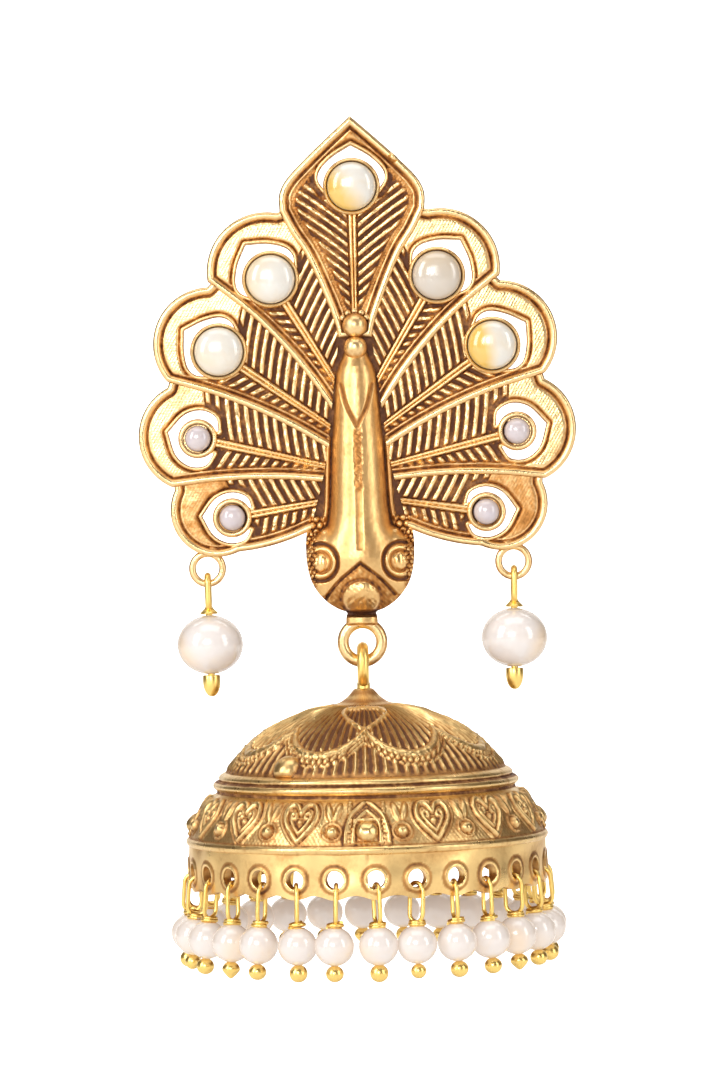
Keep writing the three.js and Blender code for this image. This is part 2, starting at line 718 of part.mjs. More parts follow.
function fringeDrop() {
  const collarTop = -DROP_LOOP_LENGTH + dropLoopRadius + DROP_WIRE / 2;
  const pearlTop = collarTop - DROP_COLLAR;
  const pearl = DROP_PEARL / 2;
  const middle = pearlTop - pearl * Math.cos(Math.asin(DROP_COLLAR_WIDTH / DROP_PEARL));
  const ballTop = middle - pearl;
  const ballRadius = DROP_BALL / 2;
  const bead = lathe([
    [0, collarTop],
    [DROP_COLLAR_WIDTH / 2 - DROP_WIRE / 2, collarTop],
    [DROP_COLLAR_WIDTH / 2, pearlTop],
    [pearl * 0.98, middle + pearl * 0.4],
    [pearl * 0.98, middle - pearl * 0.4],
    [ballRadius * 0.55, ballTop],
    [ballRadius, ballTop - ballRadius * 0.85],
    [0, ballTop - ballRadius * 1.85],
  ], BEAD_SIDES);
  const loop = wireLoop(dropLoopRadius, DROP_LOOP_LENGTH - 2 * dropLoopRadius, DROP_WIRE, LOOP_STEPS);
  return surface(loop.add(bead));
}

function earPost() {
  const pad = drum(POST_PAD / 2, -POST_SEAT, 0, ROUND);
  const post = drum(POST_DIAMETER / 2, -POST_LENGTH, 0, BEAD_SIDES);
  const depth = POST_SEAT - POST_CLEARANCE;
  return surface(pad.add(post).translate([0, POST_HEIGHT, depth]));
}

const earring = new THREE.Group();
const rightSide = FEATHERS.map((feather, at) => sideFeather(at)).reverse();
const feathers = [];
for (const feather of rightSide) feathers.push(feather, flipped(feather));
feathers.push(crownFeather());

earring.add(piece('peacock_stud', surface(peacockStud(feathers)), metal));
earring.add(piece('ear_post', earPost(), brightMetal));

const cabochonGeometry = stoneGeometry(CABOCHON, CABOCHON_HEIGHT);
const halfPearlGeometry = stoneGeometry(HALF_PEARL, HALF_PEARL_HEIGHT);
function setStone(name, stone, cabochon) {
  const mesh = piece(name, cabochon ? cabochonGeometry : halfPearlGeometry, cabochon ? shell : nacre);
  mesh.position.set(stone.x, stone.y, PLATE + STONE_CLEARANCE);
  earring.add(mesh);
}
setStone('cabochon_crown', fanPoint(0, CROWN_STONE), true);
for (const feather of FEATHERS) {
  for (const [hand, side] of [['left', -1], ['right', 1]]) {
    const kind = feather.cabochon ? 'cabochon' : 'half_pearl';
    const stone = fanPoint(side * feather.stoneU, feather.stoneV);
    setStone(`${kind}_${feather.name}_${hand}`, stone, feather.cabochon);
  }
}

for (const [hand, side] of [['left', -1], ['right', 1]]) {
  const place = sideRingPlace(side);
  const drop = new THREE.Group();
  drop.position.set(place.x, place.y - SIDE_RING_RADIUS, RING_DEPTH);
  drop.add(piece(`side_drop_pin_${hand}`, sideDropPin(), brightMetal));
  drop.add(piece(`side_drop_pearl_${hand}`, sideDropPearl(), nacre));
  earring.add(drop);
}

const bail = piece('dome_bail', domeBail(), brightMetal);
bail.position.set(0, -RING_RADIUS, RING_DEPTH);
earring.add(bail);

const bell = new THREE.Group();
bell.position.set(0, domeTop, RING_DEPTH);
bell.add(piece('jhumka_dome', surface(dome()), metal));
const dropGeometry = fringeDrop();
for (let at = 0; at < DROPS; at += 1) {
  const spoke = new THREE.Group();
  spoke.rotation.y = radians(DROP_PHASE + (at * 360) / DROPS);
  const drop = piece(`fringe_drop_${String(at + 1).padStart(2, '0')}`, dropGeometry, nacre);
  drop.position.set(0, dropHang, DOME_RADIUS - DOME_WALL / 2);
  drop.rotation.x = radians(-DROP_LEAN);
  spoke.add(drop);
  bell.add(spoke);
}
earring.add(bell);

earring.rotation.x = Math.PI / 2;
earring.position.set(0, 0, -POST_HEIGHT);
const group = new THREE.Group();
group.add(earring);

export default group;
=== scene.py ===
import math

import bpy
import numpy as np
from mathutils import Matrix, Vector
from mathutils.geometry import tessellate_polygon


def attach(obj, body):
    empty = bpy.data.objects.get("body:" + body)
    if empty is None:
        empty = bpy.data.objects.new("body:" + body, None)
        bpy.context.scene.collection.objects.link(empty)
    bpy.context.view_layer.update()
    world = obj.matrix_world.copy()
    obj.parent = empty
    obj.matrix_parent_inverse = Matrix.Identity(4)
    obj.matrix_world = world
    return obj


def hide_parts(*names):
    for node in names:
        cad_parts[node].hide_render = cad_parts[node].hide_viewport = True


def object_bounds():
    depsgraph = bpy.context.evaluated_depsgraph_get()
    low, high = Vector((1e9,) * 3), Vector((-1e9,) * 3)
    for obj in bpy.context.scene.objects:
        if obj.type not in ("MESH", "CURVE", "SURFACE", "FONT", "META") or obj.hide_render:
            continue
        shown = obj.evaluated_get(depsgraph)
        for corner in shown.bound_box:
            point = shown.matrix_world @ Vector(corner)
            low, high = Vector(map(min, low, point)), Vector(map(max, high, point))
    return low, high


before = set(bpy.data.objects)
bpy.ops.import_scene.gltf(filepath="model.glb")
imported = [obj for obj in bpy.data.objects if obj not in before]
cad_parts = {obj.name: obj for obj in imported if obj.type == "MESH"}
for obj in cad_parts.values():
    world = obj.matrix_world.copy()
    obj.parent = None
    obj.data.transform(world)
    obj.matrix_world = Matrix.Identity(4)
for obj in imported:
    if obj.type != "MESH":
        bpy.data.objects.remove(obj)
cad_low, cad_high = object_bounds()

# The camera stands level with the middle of the hanging earring, less than an arm's length away, and
# leans a little, so that the earring's top leans to the left.
mm = 0.001
camera_distance = 0.40
picture_height = 0.112
sensor = 36.0
lean_in_picture = math.radians(1.4)
middle_z = (cad_low.z + cad_high.z) / 2
camera_data = bpy.data.cameras.new("camera")
camera_data.sensor_width = sensor
camera_data.lens = sensor * camera_distance / picture_height
camera = bpy.data.objects.new("camera", camera_data)
camera.location = (0, -camera_distance, middle_z)
camera.rotation_euler = (
    Matrix.Rotation(math.radians(90), 4, "X") @ Matrix.Rotation(-lean_in_picture, 4, "Z")
).to_euler()
bpy.context.scene.collection.objects.link(camera)
bpy.context.scene.camera = camera
bpy.context.scene.view_settings.view_transform = "Standard"

# The backdrop is one sheet of matt white paper that curves up from the floor, a centimetre under the
# lowest ball of the fringe. It is lit until it shows as plain white.
floor_z = cad_low.z - 10 * mm
paper_half = 0.7
paper_front = -2.0
paper_back = 0.55
paper_bend = 0.35
paper_top = 1.4
bend_steps = 12
paper_rows = [(paper_front, 0.0), (paper_back, 0.0)]
for step in range(1, bend_steps + 1):
    turn = math.radians(90) * step / bend_steps
    paper_rows.append((paper_back + paper_bend * math.sin(turn), paper_bend * (1 - math.cos(turn))))
paper_rows.append((paper_back + paper_bend, paper_top))
paper_mesh = bpy.data.meshes.new("paper")
paper_mesh.from_pydata(
    [(side * paper_half, y, floor_z + z) for y, z in paper_rows for side in (-1, 1)],
    [],
    [(2 * row, 2 * row + 1, 2 * row + 3, 2 * row + 2) for row in range(len(paper_rows) - 1)],
)
paper_mesh.polygons.foreach_set("use_smooth", [True] * len(paper_mesh.polygons))
paper = bpy.data.objects.new("paper", paper_mesh)
bpy.context.scene.collection.objects.link(paper)
paper_finish = bpy.data.materials.new("white_paper")
paper_finish.use_nodes = True
paper_shader = paper_finish.node_tree.nodes["Principled BSDF"]
paper_shader.inputs["Base Color"].default_value = (0.93, 0.93, 0.925, 1)
paper_shader.inputs["Roughness"].default_value = 0.9
paper_shader.inputs["Emission Color"].default_value = (1.0, 1.0, 1.0, 1)
seen = paper_finish.node_tree.nodes.new("ShaderNodeLightPath")
glow = paper_finish.node_tree.nodes.new("ShaderNodeMapRange")
glow.inputs["To Min"].default_value = 0.15
glow.inputs["To Max"].default_value = 1.0
paper_finish.node_tree.links.new(seen.outputs["Is Camera Ray"], glow.inputs["Value"])
paper_finish.node_tree.links.new(glow.outputs["Result"], paper_shader.inputs["Emission Strength"])
paper_shader.inputs["Specular IOR Level"].default_value = 0.2
paper_mesh.materials.append(paper_finish)

# Soft light: a large box on each side, one above and one in front, two small windows that put the
# bright spots on the pearls, and one that lights only the backdrop. The room is a dim warm brown.
world = bpy.data.worlds.new("studio")
world.use_nodes = True
world.node_tree.nodes["Background"].inputs["Color"].default_value = (1.0, 0.80, 0.64, 1)
world.node_tree.nodes["Background"].inputs["Strength"].default_value = 0.13
bpy.context.scene.world = world


def softbox(name, place, size, power, aim_at=(0.0, 0.0, middle_z)):
    light = bpy.data.lights.new(name, "AREA")
    light.shape = "RECTANGLE"
    light.size, light.size_y = size
    light.energy = power
    lamp = bpy.data.objects.new(name, light)
    lamp.location = place
    aim = Vector(aim_at) - lamp.location
    lamp.rotation_euler = aim.to_track_quat("-Z", "Y").to_euler()
    bpy.context.scene.collection.objects.link(lamp)


softbox("light_left", (-0.55, -0.42, 0.28), (0.24, 0.6), 3.1)
softbox("light_right", (0.60, -0.38, 0.18), (0.2, 0.6), 1.6)
softbox("light_above", (0.0, -0.15, 0.70), (0.7, 0.4), 1.9)
softbox("light_front", (-0.12, -0.85, 0.20), (0.36, 0.36), 1.3)
softbox("light_window_left", (-0.24, -0.70, 0.16), (0.10, 0.20), 0.7)
softbox("light_window_right", (-0.09, -0.75, 0.16), (0.10, 0.20), 0.7)
softbox("light_backdrop", (0.0, 0.32, 0.62), (1.0, 0.3), 2.6, aim_at=(0.0, 0.9, 0.0))

# The feathers of the cast fan. Each is one leaf of the casting with a raised rim, a dished field, an
# eye that is cut through, a double stem and a row of barbs on each side. The whole stud is brass,
# cast in one, plated, and then darkened in the recesses and rubbed bright on the high places.
stud_zero = -34.0 * mm
plate = 1.1
field_step = 0.095
outline_spacing = 0.25
arch_spacing = 0.12
back_shade = 0.45
rim_wide = 0.78
rim_high = 0.55
field_high = 0.22
barb_high = 0.42
barb_pitch = 1.0
barb_margin = 1.32
barb_bend = 0.02
barb_dot = 0.33
barb_dot_high = 0.16
stem_high = 0.5
stem_half_wide = 0.5
arch_half_wide = 0.22
arch_high = 0.42
line_half_wide = 0.13
line_high = 0.2
stipple_pitch = 0.34
flaw_place = (4.4, 50.0)
flaw_size = 0.5
flaw_high = 0.6


def at_stud(u, v, w):
    """Points in metres from millimetres on the stud: u to the right, v up and w to the front."""
    return np.stack([u * mm, -w * mm, stud_zero + v * mm], -1)


def smooth_path(points, spacing):
    """Points along a curve through the given ones, evenly spaced."""
    knots = np.array(points, float)
    count = len(knots)
    spans = []
    for at in range(count - 1):
        before = knots[at - 1] if at > 0 else 2 * knots[0] - knots[1]
        start, end = knots[at], knots[at + 1]
        after = knots[at + 2] if at < count - 2 else 2 * knots[-1] - knots[-2]
        t = np.linspace(0, 1, 24, endpoint=False)[:, None]
        square = 2 * before - 5 * start + 4 * end - after
        cube = 3 * start - before - 3 * end + after
        spans.append(0.5 * (2 * start + (end - before) * t + square * t**2 + cube * t**3))
    spans.append(knots[-1:])
    fine = np.concatenate(spans)
    along = np.concatenate([[0], np.cumsum(np.linalg.norm(np.diff(fine, axis=0), axis=1))])
    steps = max(int(round(along[-1] / spacing)), 2)
    where = np.linspace(0, along[-1], steps + 1)
    return np.stack([np.interp(where, along, fine[:, axis]) for axis in range(fine.shape[1])], -1)


def arc_points(centre, radius, start, end, count):
    """The points of an arc between two points on a circle, anticlockwise and without its ends."""
    a = math.atan2(start[1] - centre[1], start[0] - centre[0])
    b = math.atan2(end[1] - centre[1], end[0] - centre[0])
    if b < a:
        b += 2 * math.pi
    turns = np.linspace(a, b, count)[1:-1]
    return [(centre[0] + radius * math.cos(t), centre[1] + radius * math.sin(t)) for t in turns]


def nearest_on(points, path, closed):
    """The distance from each point to a path, and the nearest point on the path."""
    start = path if closed else path[:-1]
    end = np.roll(path, -1, 0) if closed else path[1:]
    leg = end - start
    size = np.maximum((leg**2).sum(1), 1e-12)
    gap = np.full(len(points), 1e9)
    near = np.zeros_like(points)
    for a, d, s in zip(start, leg, size):
        t = np.clip(((points - a) @ d) / s, 0, 1)[:, None]
        foot = a + t * d
        reach = np.hypot(*(points - foot).T)
        closer = reach < gap
        gap[closer] = reach[closer]
        near[closer] = foot[closer]
    return gap, near


def gap_to(points, path, closed=False):
    return nearest_on(points, path, closed)[0]


def is_inside(points, outline):
    x, y = points.T
    crossings = np.zeros(len(points), int)
    for (ax, ay), (bx, by) in zip(outline, np.roll(outline, -1, 0)):
        if ay == by:
            continue
        spans = (ay > y) != (by > y)
        crossings += spans & (x < (bx - ax) * (y - ay) / (by - ay) + ax)
    return crossings % 2 == 1


def carve(outline, holes, step):
    """A fine flat net of faces inside an outline and outside its holes, with its edge on both."""
    low = np.floor(outline.min(0) / step - 1) * step
    high = outline.max(0) + 2 * step
    columns = np.arange(low[0], high[0], step)
    rows = np.arange(low[1], high[1], step)
    net = np.stack(np.meshgrid(columns, rows), -1).reshape(-1, 2)
    gap, near = nearest_on(net, outline, True)
    outside = np.where(is_inside(net, outline), -gap, gap)
    for hole in holes:
        hole_gap, hole_near = nearest_on(net, hole, True)
        hole_out = np.where(is_inside(net, hole), hole_gap, -hole_gap)
        nearer = hole_out > outside
        outside = np.where(nearer, hole_out, outside)
        near[nearer] = hole_near[nearer]
    snapped = np.abs(outside) < 0.5 * step
    net[snapped] = near[snapped]
    kept = snapped | (outside < 0)
    wide = len(columns)
    index = np.arange(len(net)).reshape(len(rows), wide)
    ring = np.stack([index[:-1, :-1], index[:-1, 1:], index[1:, 1:], index[1:, :-1]], -1).reshape(-1, 4)
    held = kept[ring]
    whole = ring[held.sum(1) == 4]
    corners = []
    for missing in range(4):
        three = ring[(held.sum(1) == 3) & ~held[:, missing]]
        corners.append(np.delete(three, missing, axis=1))
    triangles = np.concatenate([whole[:, [0, 1, 2]], whole[:, [0, 2, 3]], *corners])
    used, triangles = np.unique(triangles, return_inverse=True)
    triangles = triangles.reshape(-1, 3)
    net = net[used]
    a, b, c = (net[triangles[:, k]] for k in range(3))
    flat = np.abs(np.cross(b - a, c - a)) < 1e-9
    return net, triangles[~flat]


def open_edges(triangles, count):
    """The edges that only one face has, each in its face's direction."""
    edges = np.concatenate([triangles[:, [0, 1]], triangles[:, [1, 2]], triangles[:, [2, 0]]])
    keys = edges[:, 0].astype(np.int64) * count + edges[:, 1]
    back = edges[:, 1].astype(np.int64) * count + edges[:, 0]
    return edges[~np.isin(keys, back)]


def edge_loops(edges):
    """The closed loops that directed edges make, also where two loops touch in one point."""
    following = {}
    for a, b in edges:
        following.setdefault(int(a), []).append(int(b))
    loops = []
    while following:
        start = next(iter(following))
        loop, here = [], start
        while here in following:
            loop.append(here)
            ways = following[here]
            there = ways.pop()
            if not ways:
                del following[here]
            here = there
            if here == start:
                break
        loops.append(loop)
    return loops


def make_piece(name, points, faces, relief, sharp=None):
    """A smooth mesh object from points in metres, with how rubbed or how golden each point is."""
    mesh = bpy.data.meshes.new(name)
    mesh.from_pydata(np.asarray(points).tolist(), [], [list(map(int, face)) for face in faces])
    mesh.polygons.foreach_set("use_smooth", [True] * len(mesh.polygons))
    mask = mesh.attributes.new("relief", "FLOAT", "POINT")
    mask.data.foreach_set("value", np.asarray(relief, dtype=np.float32))
    if sharp is not None:
        mesh.set_sharp_from_angle(angle=math.radians(sharp))
    mesh.validate()
    piece = bpy.data.objects.new(name, mesh)
    bpy.context.scene.collection.objects.link(piece)
    return piece


def dress(piece, finish, body, node):
    piece.data.materials.append(finish)
    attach(piece, body)
    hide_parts(node)


def carved_leaf(name, outline, holes, surface, back=0.0):
    """A leaf of the casting: its carved front, its walls and its flat back."""
    net, triangles = carve(outline, holes, field_step)
    height, relief = surface(net)
    front = at_stud(net[:, 0], net[:, 1], height)
    edges = open_edges(triangles, len(net))
    rim_points = np.unique(edges)
    below = np.full(len(net), -1)
    below[rim_points] = len(net) + np.arange(len(rim_points))
    rear = at_stud(net[rim_points, 0], net[rim_points, 1], np.full(len(rim_points), back))
    walls = np.stack([edges[:, 1], edges[:, 0], below[edges[:, 0]], below[edges[:, 1]]], -1)
    loops = edge_loops(edges)
    lines = [[Vector((*net[point], 0)) for point in loop] for loop in loops]
    flat = [point for loop in loops for point in loop]
    back_faces = []
    for face in tessellate_polygon(lines):
        corner = [flat[k] for k in face]
        p, q, r = (net[k] for k in corner)
        if np.cross(q - p, r - p) > 0:
            corner.reverse()
        back_faces.append([below[k] for k in corner])
    faces = triangles.tolist() + walls.tolist() + back_faces
    shades = np.concatenate([relief, np.full(len(rim_points), back_shade)])
    return make_piece(name, np.concatenate([front, rear]), faces, shades, sharp=62)


def bead(distance, centre, half, high):
    """A round-topped ridge that follows a line at a distance."""
    return high * np.sqrt(np.clip(1 - ((distance - centre) / half) ** 2, 0, 1))


def blend(value, low, high):
    """0 at low, 1 at high and a smooth step between."""
    t = np.clip((value - low) / (high - low), 0, 1)
    return t * t * (3 - 2 * t)


def dots(x, y, pitch):
    """Round grains in offset rows, from 0 between them to 1 on top."""
    row_height, grain_squared = 0.866, 0.2
    row = np.round(y / (pitch * row_height))
    across = (x / pitch - 0.5 * (row % 2) + 0.5) % 1 - 0.5
    up = y / pitch - row * row_height
    return np.sqrt(np.clip(1 - (across**2 + up**2) / grain_squared, 0, 1))


# Real places on the right half of the fan, from the middle of the ring under the bird: the lower cusp,
# the lobe's circle, the root of the lower border and its bow, the stone, the foot of the stem, and the
# eye's direction in degrees from straight up. arch is half the width and then the reach of the
# opening, pale is how far the plain field is rubbed, and barbs is how steeply the barbs slant.
feathers = {
    "upper": dict(cusp=(14.77, 37.4), lobe=(9.0, 38.5), radius=6.17, root=(2.6, 24.1), bow=0.9,
                  stone=(8.6, 37.7), foot=(1.9, 26.6), way=34.6, bezel=2.8, arch=(3.35, 4.45),
                  pale=0.87, barbs=0.72),
    "middle": dict(cusp=(19.33, 27.3), lobe=(15.0, 31.15), radius=5.9, root=(3.0, 20.1), bow=0.75,
                   stone=(14.13, 30.35), foot=(2.85, 22.4), way=56.6, bezel=2.8, arch=(3.3, 4.25),
                   pale=0.88, barbs=0.58),
    "lower": dict(cusp=(19.05, 16.5), lobe=(16.9, 21.67), radius=5.72, root=(3.75, 16.65), bow=0.5,
                  stone=(16.5, 21.43), foot=(3.85, 18.4), way=76.6, bezel=2.0, arch=(2.95, 3.2),
                  pale=0.82, barbs=0.46),
    "bottom": dict(cusp=(12.6, 9.64), lobe=(14.67, 14.0), radius=4.83, root=(5.1, 11.65), bow=-0.35,
                   stone=(13.13, 13.17), foot=(3.5, 14.65), way=86.0, bezel=2.0, arch=(2.6, 3.15),
                   pale=0.5, barbs=0.42),
}
crown_flank = [(0, 54.4), (2.4, 52.25), (4.75, 50.05), (6.7, 48.0), (7.5, 46.4), (7.5, 44.65)]
crown_waist = [(7.5, 44.65), (6.35, 42.4), (5.0, 40.3), (3.6, 37.2), (2.2, 33.5), (1.7, 31.5)]
crown = dict(stone=(0.0, 47.1), foot=(0.0, 34.9), way=0.0, bezel=2.8, arch=(3.45, 4.35),
             pale=0.48, barbs=0.86)
large_bezel = 2.5
bezel_lap = 0.12


def border(start, end, bow):
    """The border from a root to a cusp, bowed towards the feather above."""
    start, end = np.array(start), np.array(end)
    across = np.array([-(end - start)[1], (end - start)[0]]) / np.linalg.norm(end - start)
    shares = (0, 0.25, 0.5, 0.75, 1)
    return [tuple(start + (end - start) * t + across * bow * 4 * t * (1 - t)) for t in shares]


def eye_arch(feather):
    """The right half of the eye's opening, from the bezel to the point, drawn pointing up."""
    half, reach = feather["arch"]
    if feather["bezel"] < large_bezel:
        return [(1.15, -1.95), (half * 0.86, -1.35), (half, 0.25), (half * 0.72, reach * 0.6), (0, reach)]
    return [(2.78, -0.35), (half, 0.75), (half * 0.93, 1.9), (half * 0.55, reach * 0.74), (0, reach)]


def turned(points, feather, side):
    """Points drawn round a stone that points up, turned the way the feather points."""
    way = math.radians(feather["way"])
    points = np.asarray(points, float)
    x = points[:, 0] * math.cos(way) + points[:, 1] * math.sin(way) + feather["stone"][0]
    y = -points[:, 0] * math.sin(way) + points[:, 1] * math.cos(way) + feather["stone"][1]
    return np.stack([side * x, y], -1)


def eye_hole(feather, side):
    """The outline that is cut through round a stone, and the part of it that its arched rim follows."""
    right = smooth_path(eye_arch(feather), arch_spacing)
    left = right[::-1] * (-1, 1)
    first = math.atan2(right[0][1], right[0][0])
    under_bezel = feather["bezel"] - bezel_lap
    lower = np.linspace(math.pi - first, first, 40)
    inner = np.stack([under_bezel * np.cos(lower), under_bezel * np.sin(lower)], -1)
    drawn = np.concatenate([right, left[1:], inner[1:-1]])
    return turned(drawn, feather, side), turned(np.concatenate([right, left[1:]]), feather, side)


def laid_on(height, shade, lump, high, dark, light):
    """A round-topped rim or line on the plate, where it stands above what is there already."""
    above = plate + lump > height
    return np.where(above, plate + lump, height), np.where(above, dark + light * lump / high, shade)


def feather_surface(feather, side, rim_path, arch_path, seed):
    """The height of a feather's front above its back, and how rubbed or how dark each place is."""
    stone = np.array(feather["stone"]) * (side, 1)
    foot = np.array(feather["foot"]) * (side, 1)
    along = (foot - stone) / np.linalg.norm(foot - stone)
    across = np.array([-along[1], along[0]])
    length = np.linalg.norm(foot - stone)
    is_crown = feather is crown
    steep, bezel = feather["barbs"], feather["bezel"]
    first_barb = 1.0 if is_crown else bezel * 0.62
    crown_margin = 0.35 if is_crown else 0.0
    waves = np.random.default_rng(seed).uniform(-1, 1, (14, 3)) * (6.5, 6.5, math.pi)

    def surface(net):
        s = (net - stone) @ along
        t = np.abs((net - stone) @ across)
        rim_gap = gap_to(net, rim_path, is_crown)
        arch_gap = gap_to(net, arch_path)
        grain = sum(np.sin(net @ wave[:2] + wave[2]) for wave in waves) / 14
        stipple = dots(net[:, 0], net[:, 1], stipple_pitch)

        row = s + steep * t - barb_bend * t * t + 0.05 * grain
        in_barbs = blend(row, first_barb, first_barb + 0.25)
        ends = barb_margin + crown_margin + 0.10 * grain
        clear_arch = blend(arch_gap, 0.75, 1.0)
        wave = 0.5 + 0.5 * np.cos(2 * math.pi * (row - first_barb) / barb_pitch - math.pi)
        ridge = blend(wave, 0.24, 0.76) * in_barbs * blend(rim_gap, ends, ends + 0.12) * clear_arch
        stem_half = stem_half_wide - 0.18 * np.clip(s / length, 0, 1)
        by_stem = blend(t, stem_half + 0.02, stem_half + 0.2)
        height = plate + barb_high * ridge * by_stem * (0.82 + 0.18 * grain)

        off_barb = ((row - first_barb) / barb_pitch) % 1 - 0.5
        tip_out = (rim_gap - ends - 0.28) / barb_dot
        tip_up = off_barb * barb_pitch * 0.85 / barb_dot
        tip = np.sqrt(np.clip(1 - tip_out**2 - tip_up**2, 0, 1)) * in_barbs * clear_arch
        height = height + barb_dot_high * tip
        shade = 0.07 + np.maximum(0.80 * ridge * by_stem, 0.85 * tip)

        margin = in_barbs * blend(rim_gap, rim_wide, rim_wide + 0.3)
        margin = margin * (1 - blend(rim_gap, ends - 0.1, ends + 0.05))
        height = height + 0.05 * stipple * margin
        shade = shade + (0.22 + 0.22 * stipple) * margin

        open_field = (1 - in_barbs) * blend(rim_gap, rim_wide + 0.1, rim_wide + 0.55)
        open_field = open_field * blend(arch_gap, 0.38, 0.75)
        height = height + (field_high * (1 + 0.10 * grain) + 0.025 * stipple) * open_field
        shade = np.where(in_barbs < 0.5, 0.16 + (feather["pale"] - 0.16) * open_field, shade)

        stem = bead(t, stem_half * 0.5, stem_half * 0.52, stem_high)
        on_stem = (s > bezel - 0.1) & (t < stem_half) & (stem > height - plate)
        height = np.where(on_stem, plate + stem, height)
        shade = np.where(on_stem, 0.42 + 0.5 * stem / stem_high, shade)

        inner_line = bead(rim_gap, rim_wide + 0.34, line_half_wide, line_high)
        height, shade = laid_on(height, shade, inner_line, line_high, dark=0.3, light=0.45)
        rim = bead(rim_gap, rim_wide / 2 - 0.03, rim_wide / 2 + 0.05, rim_high)
        height, shade = laid_on(height, shade, rim, rim_high, dark=0.30, light=0.66)
        arch = bead(arch_gap, 0.17, arch_half_wide, arch_high)
        height, shade = laid_on(height, shade, arch, arch_high, dark=0.35, light=0.55)
        if is_crown:
            flaw = np.hypot(net[:, 0] - flaw_place[0], net[:, 1] - flaw_place[1])
            height = height + bead(flaw, 0, flaw_size, flaw_high)
        return height, np.clip(shade, 0, 1)

    return surface


def node_group(name, inputs, outputs):
    group = bpy.data.node_groups.new(name, "ShaderNodeTree")
    for label, kind, value in inputs:
        group.interface.new_socket(label, in_out="INPUT", socket_type=kind).default_value = value
    for label, kind in outputs:
        group.interface.new_socket(label, in_out="OUTPUT", socket_type=kind)
    return group, group.nodes.new("NodeGroupInput"), group.nodes.new("NodeGroupOutput")


def math_node(tree, kind, first, second, clamp=False):
    node = tree.nodes.new("ShaderNodeMath")
    node.operation = kind
    node.use_clamp = clamp
    for socket, value in zip(node.inputs, (first, second)):
        if isinstance(value, float):
            socket.default_value = value
        else:
            tree.links.new(value, socket)
    return node.outputs[0]


def noise_node(tree, coordinates, scale, detail):
    node = tree.nodes.new("ShaderNodeTexNoise")
    node.inputs["Scale"].default_value = scale
    node.inputs["Detail"].default_value = detail
    tree.links.new(coordinates, node.inputs["Vector"])
    return node.outputs["Fac"]


def mix_node(tree, share, first, second):
    node = tree.nodes.new("ShaderNodeMix")
    node.data_type = "RGBA"
    tree.links.new(share, node.inputs["Factor"])
    for socket, value in ((node.inputs["A"], first), (node.inputs["B"], second)):
        if isinstance(value, tuple):
            socket.default_value = value
        else:
            tree.links.new(value, socket)
    return node.outputs["Result"]


def ramp_node(tree, value, low, high):
    node = tree.nodes.new("ShaderNodeMapRange")
    node.interpolation_type = "SMOOTHSTEP"
    node.inputs["From Min"].default_value = low
    node.inputs["From Max"].default_value = high
    tree.links.new(value, node.inputs["Value"])
    return node.outputs["Result"]


# Rubbed gold: dark patina low down, bronze on the slopes, clean gold where a cloth reaches.
rubbed, given, put = node_group(
    "rubbed_gold",
    [("Relief", "NodeSocketFloat", 0.5), ("Mottle", "NodeSocketFloat", 0.2),
     ("Patina", "NodeSocketColor", (0.1, 0.03, 0.01, 1)),
     ("Bronze", "NodeSocketColor", (0.5, 0.25, 0.08, 1)),
     ("Gold", "NodeSocketColor", (0.9, 0.65, 0.3, 1))],
    [("Color", "NodeSocketColor"), ("Roughness", "NodeSocketFloat"), ("Grain", "NodeSocketFloat")],
)
place_node = rubbed.nodes.new("ShaderNodeTexCoord")
coarse = noise_node(rubbed, place_node.outputs["Object"], 520.0, 4.0)
fine = noise_node(rubbed, place_node.outputs["Object"], 2600.0, 3.0)
coarse_off = math_node(rubbed, "SUBTRACT", coarse, 0.5)
fine_off = math_node(rubbed, "SUBTRACT", fine, 0.5)
patchy = math_node(rubbed, "MULTIPLY", coarse_off, given.outputs["Mottle"])
speckle = math_node(rubbed, "MULTIPLY", fine_off, given.outputs["Mottle"])
worn = math_node(rubbed, "ADD", given.outputs["Relief"], math_node(rubbed, "MULTIPLY", patchy, 2.2))
worn = math_node(rubbed, "ADD", worn, math_node(rubbed, "MULTIPLY", speckle, 1.4), clamp=True)
bronze_share = ramp_node(rubbed, worn, 0.04, 0.42)
gold_share = ramp_node(rubbed, worn, 0.36, 0.86)
low_mix = mix_node(rubbed, bronze_share, given.outputs["Patina"], given.outputs["Bronze"])
rubbed.links.new(mix_node(rubbed, gold_share, low_mix, given.outputs["Gold"]), put.inputs["Color"])
dull = math_node(rubbed, "ADD", math_node(rubbed, "MULTIPLY", fine, 0.14), 0.62)
polish = math_node(rubbed, "MULTIPLY", worn, 0.43)
rubbed.links.new(math_node(rubbed, "SUBTRACT", dull, polish), put.inputs["Roughness"])
pits = math_node(rubbed, "MULTIPLY", coarse, 0.7)
rubbed.links.new(math_node(rubbed, "ADD", fine, pits), put.inputs["Grain"])


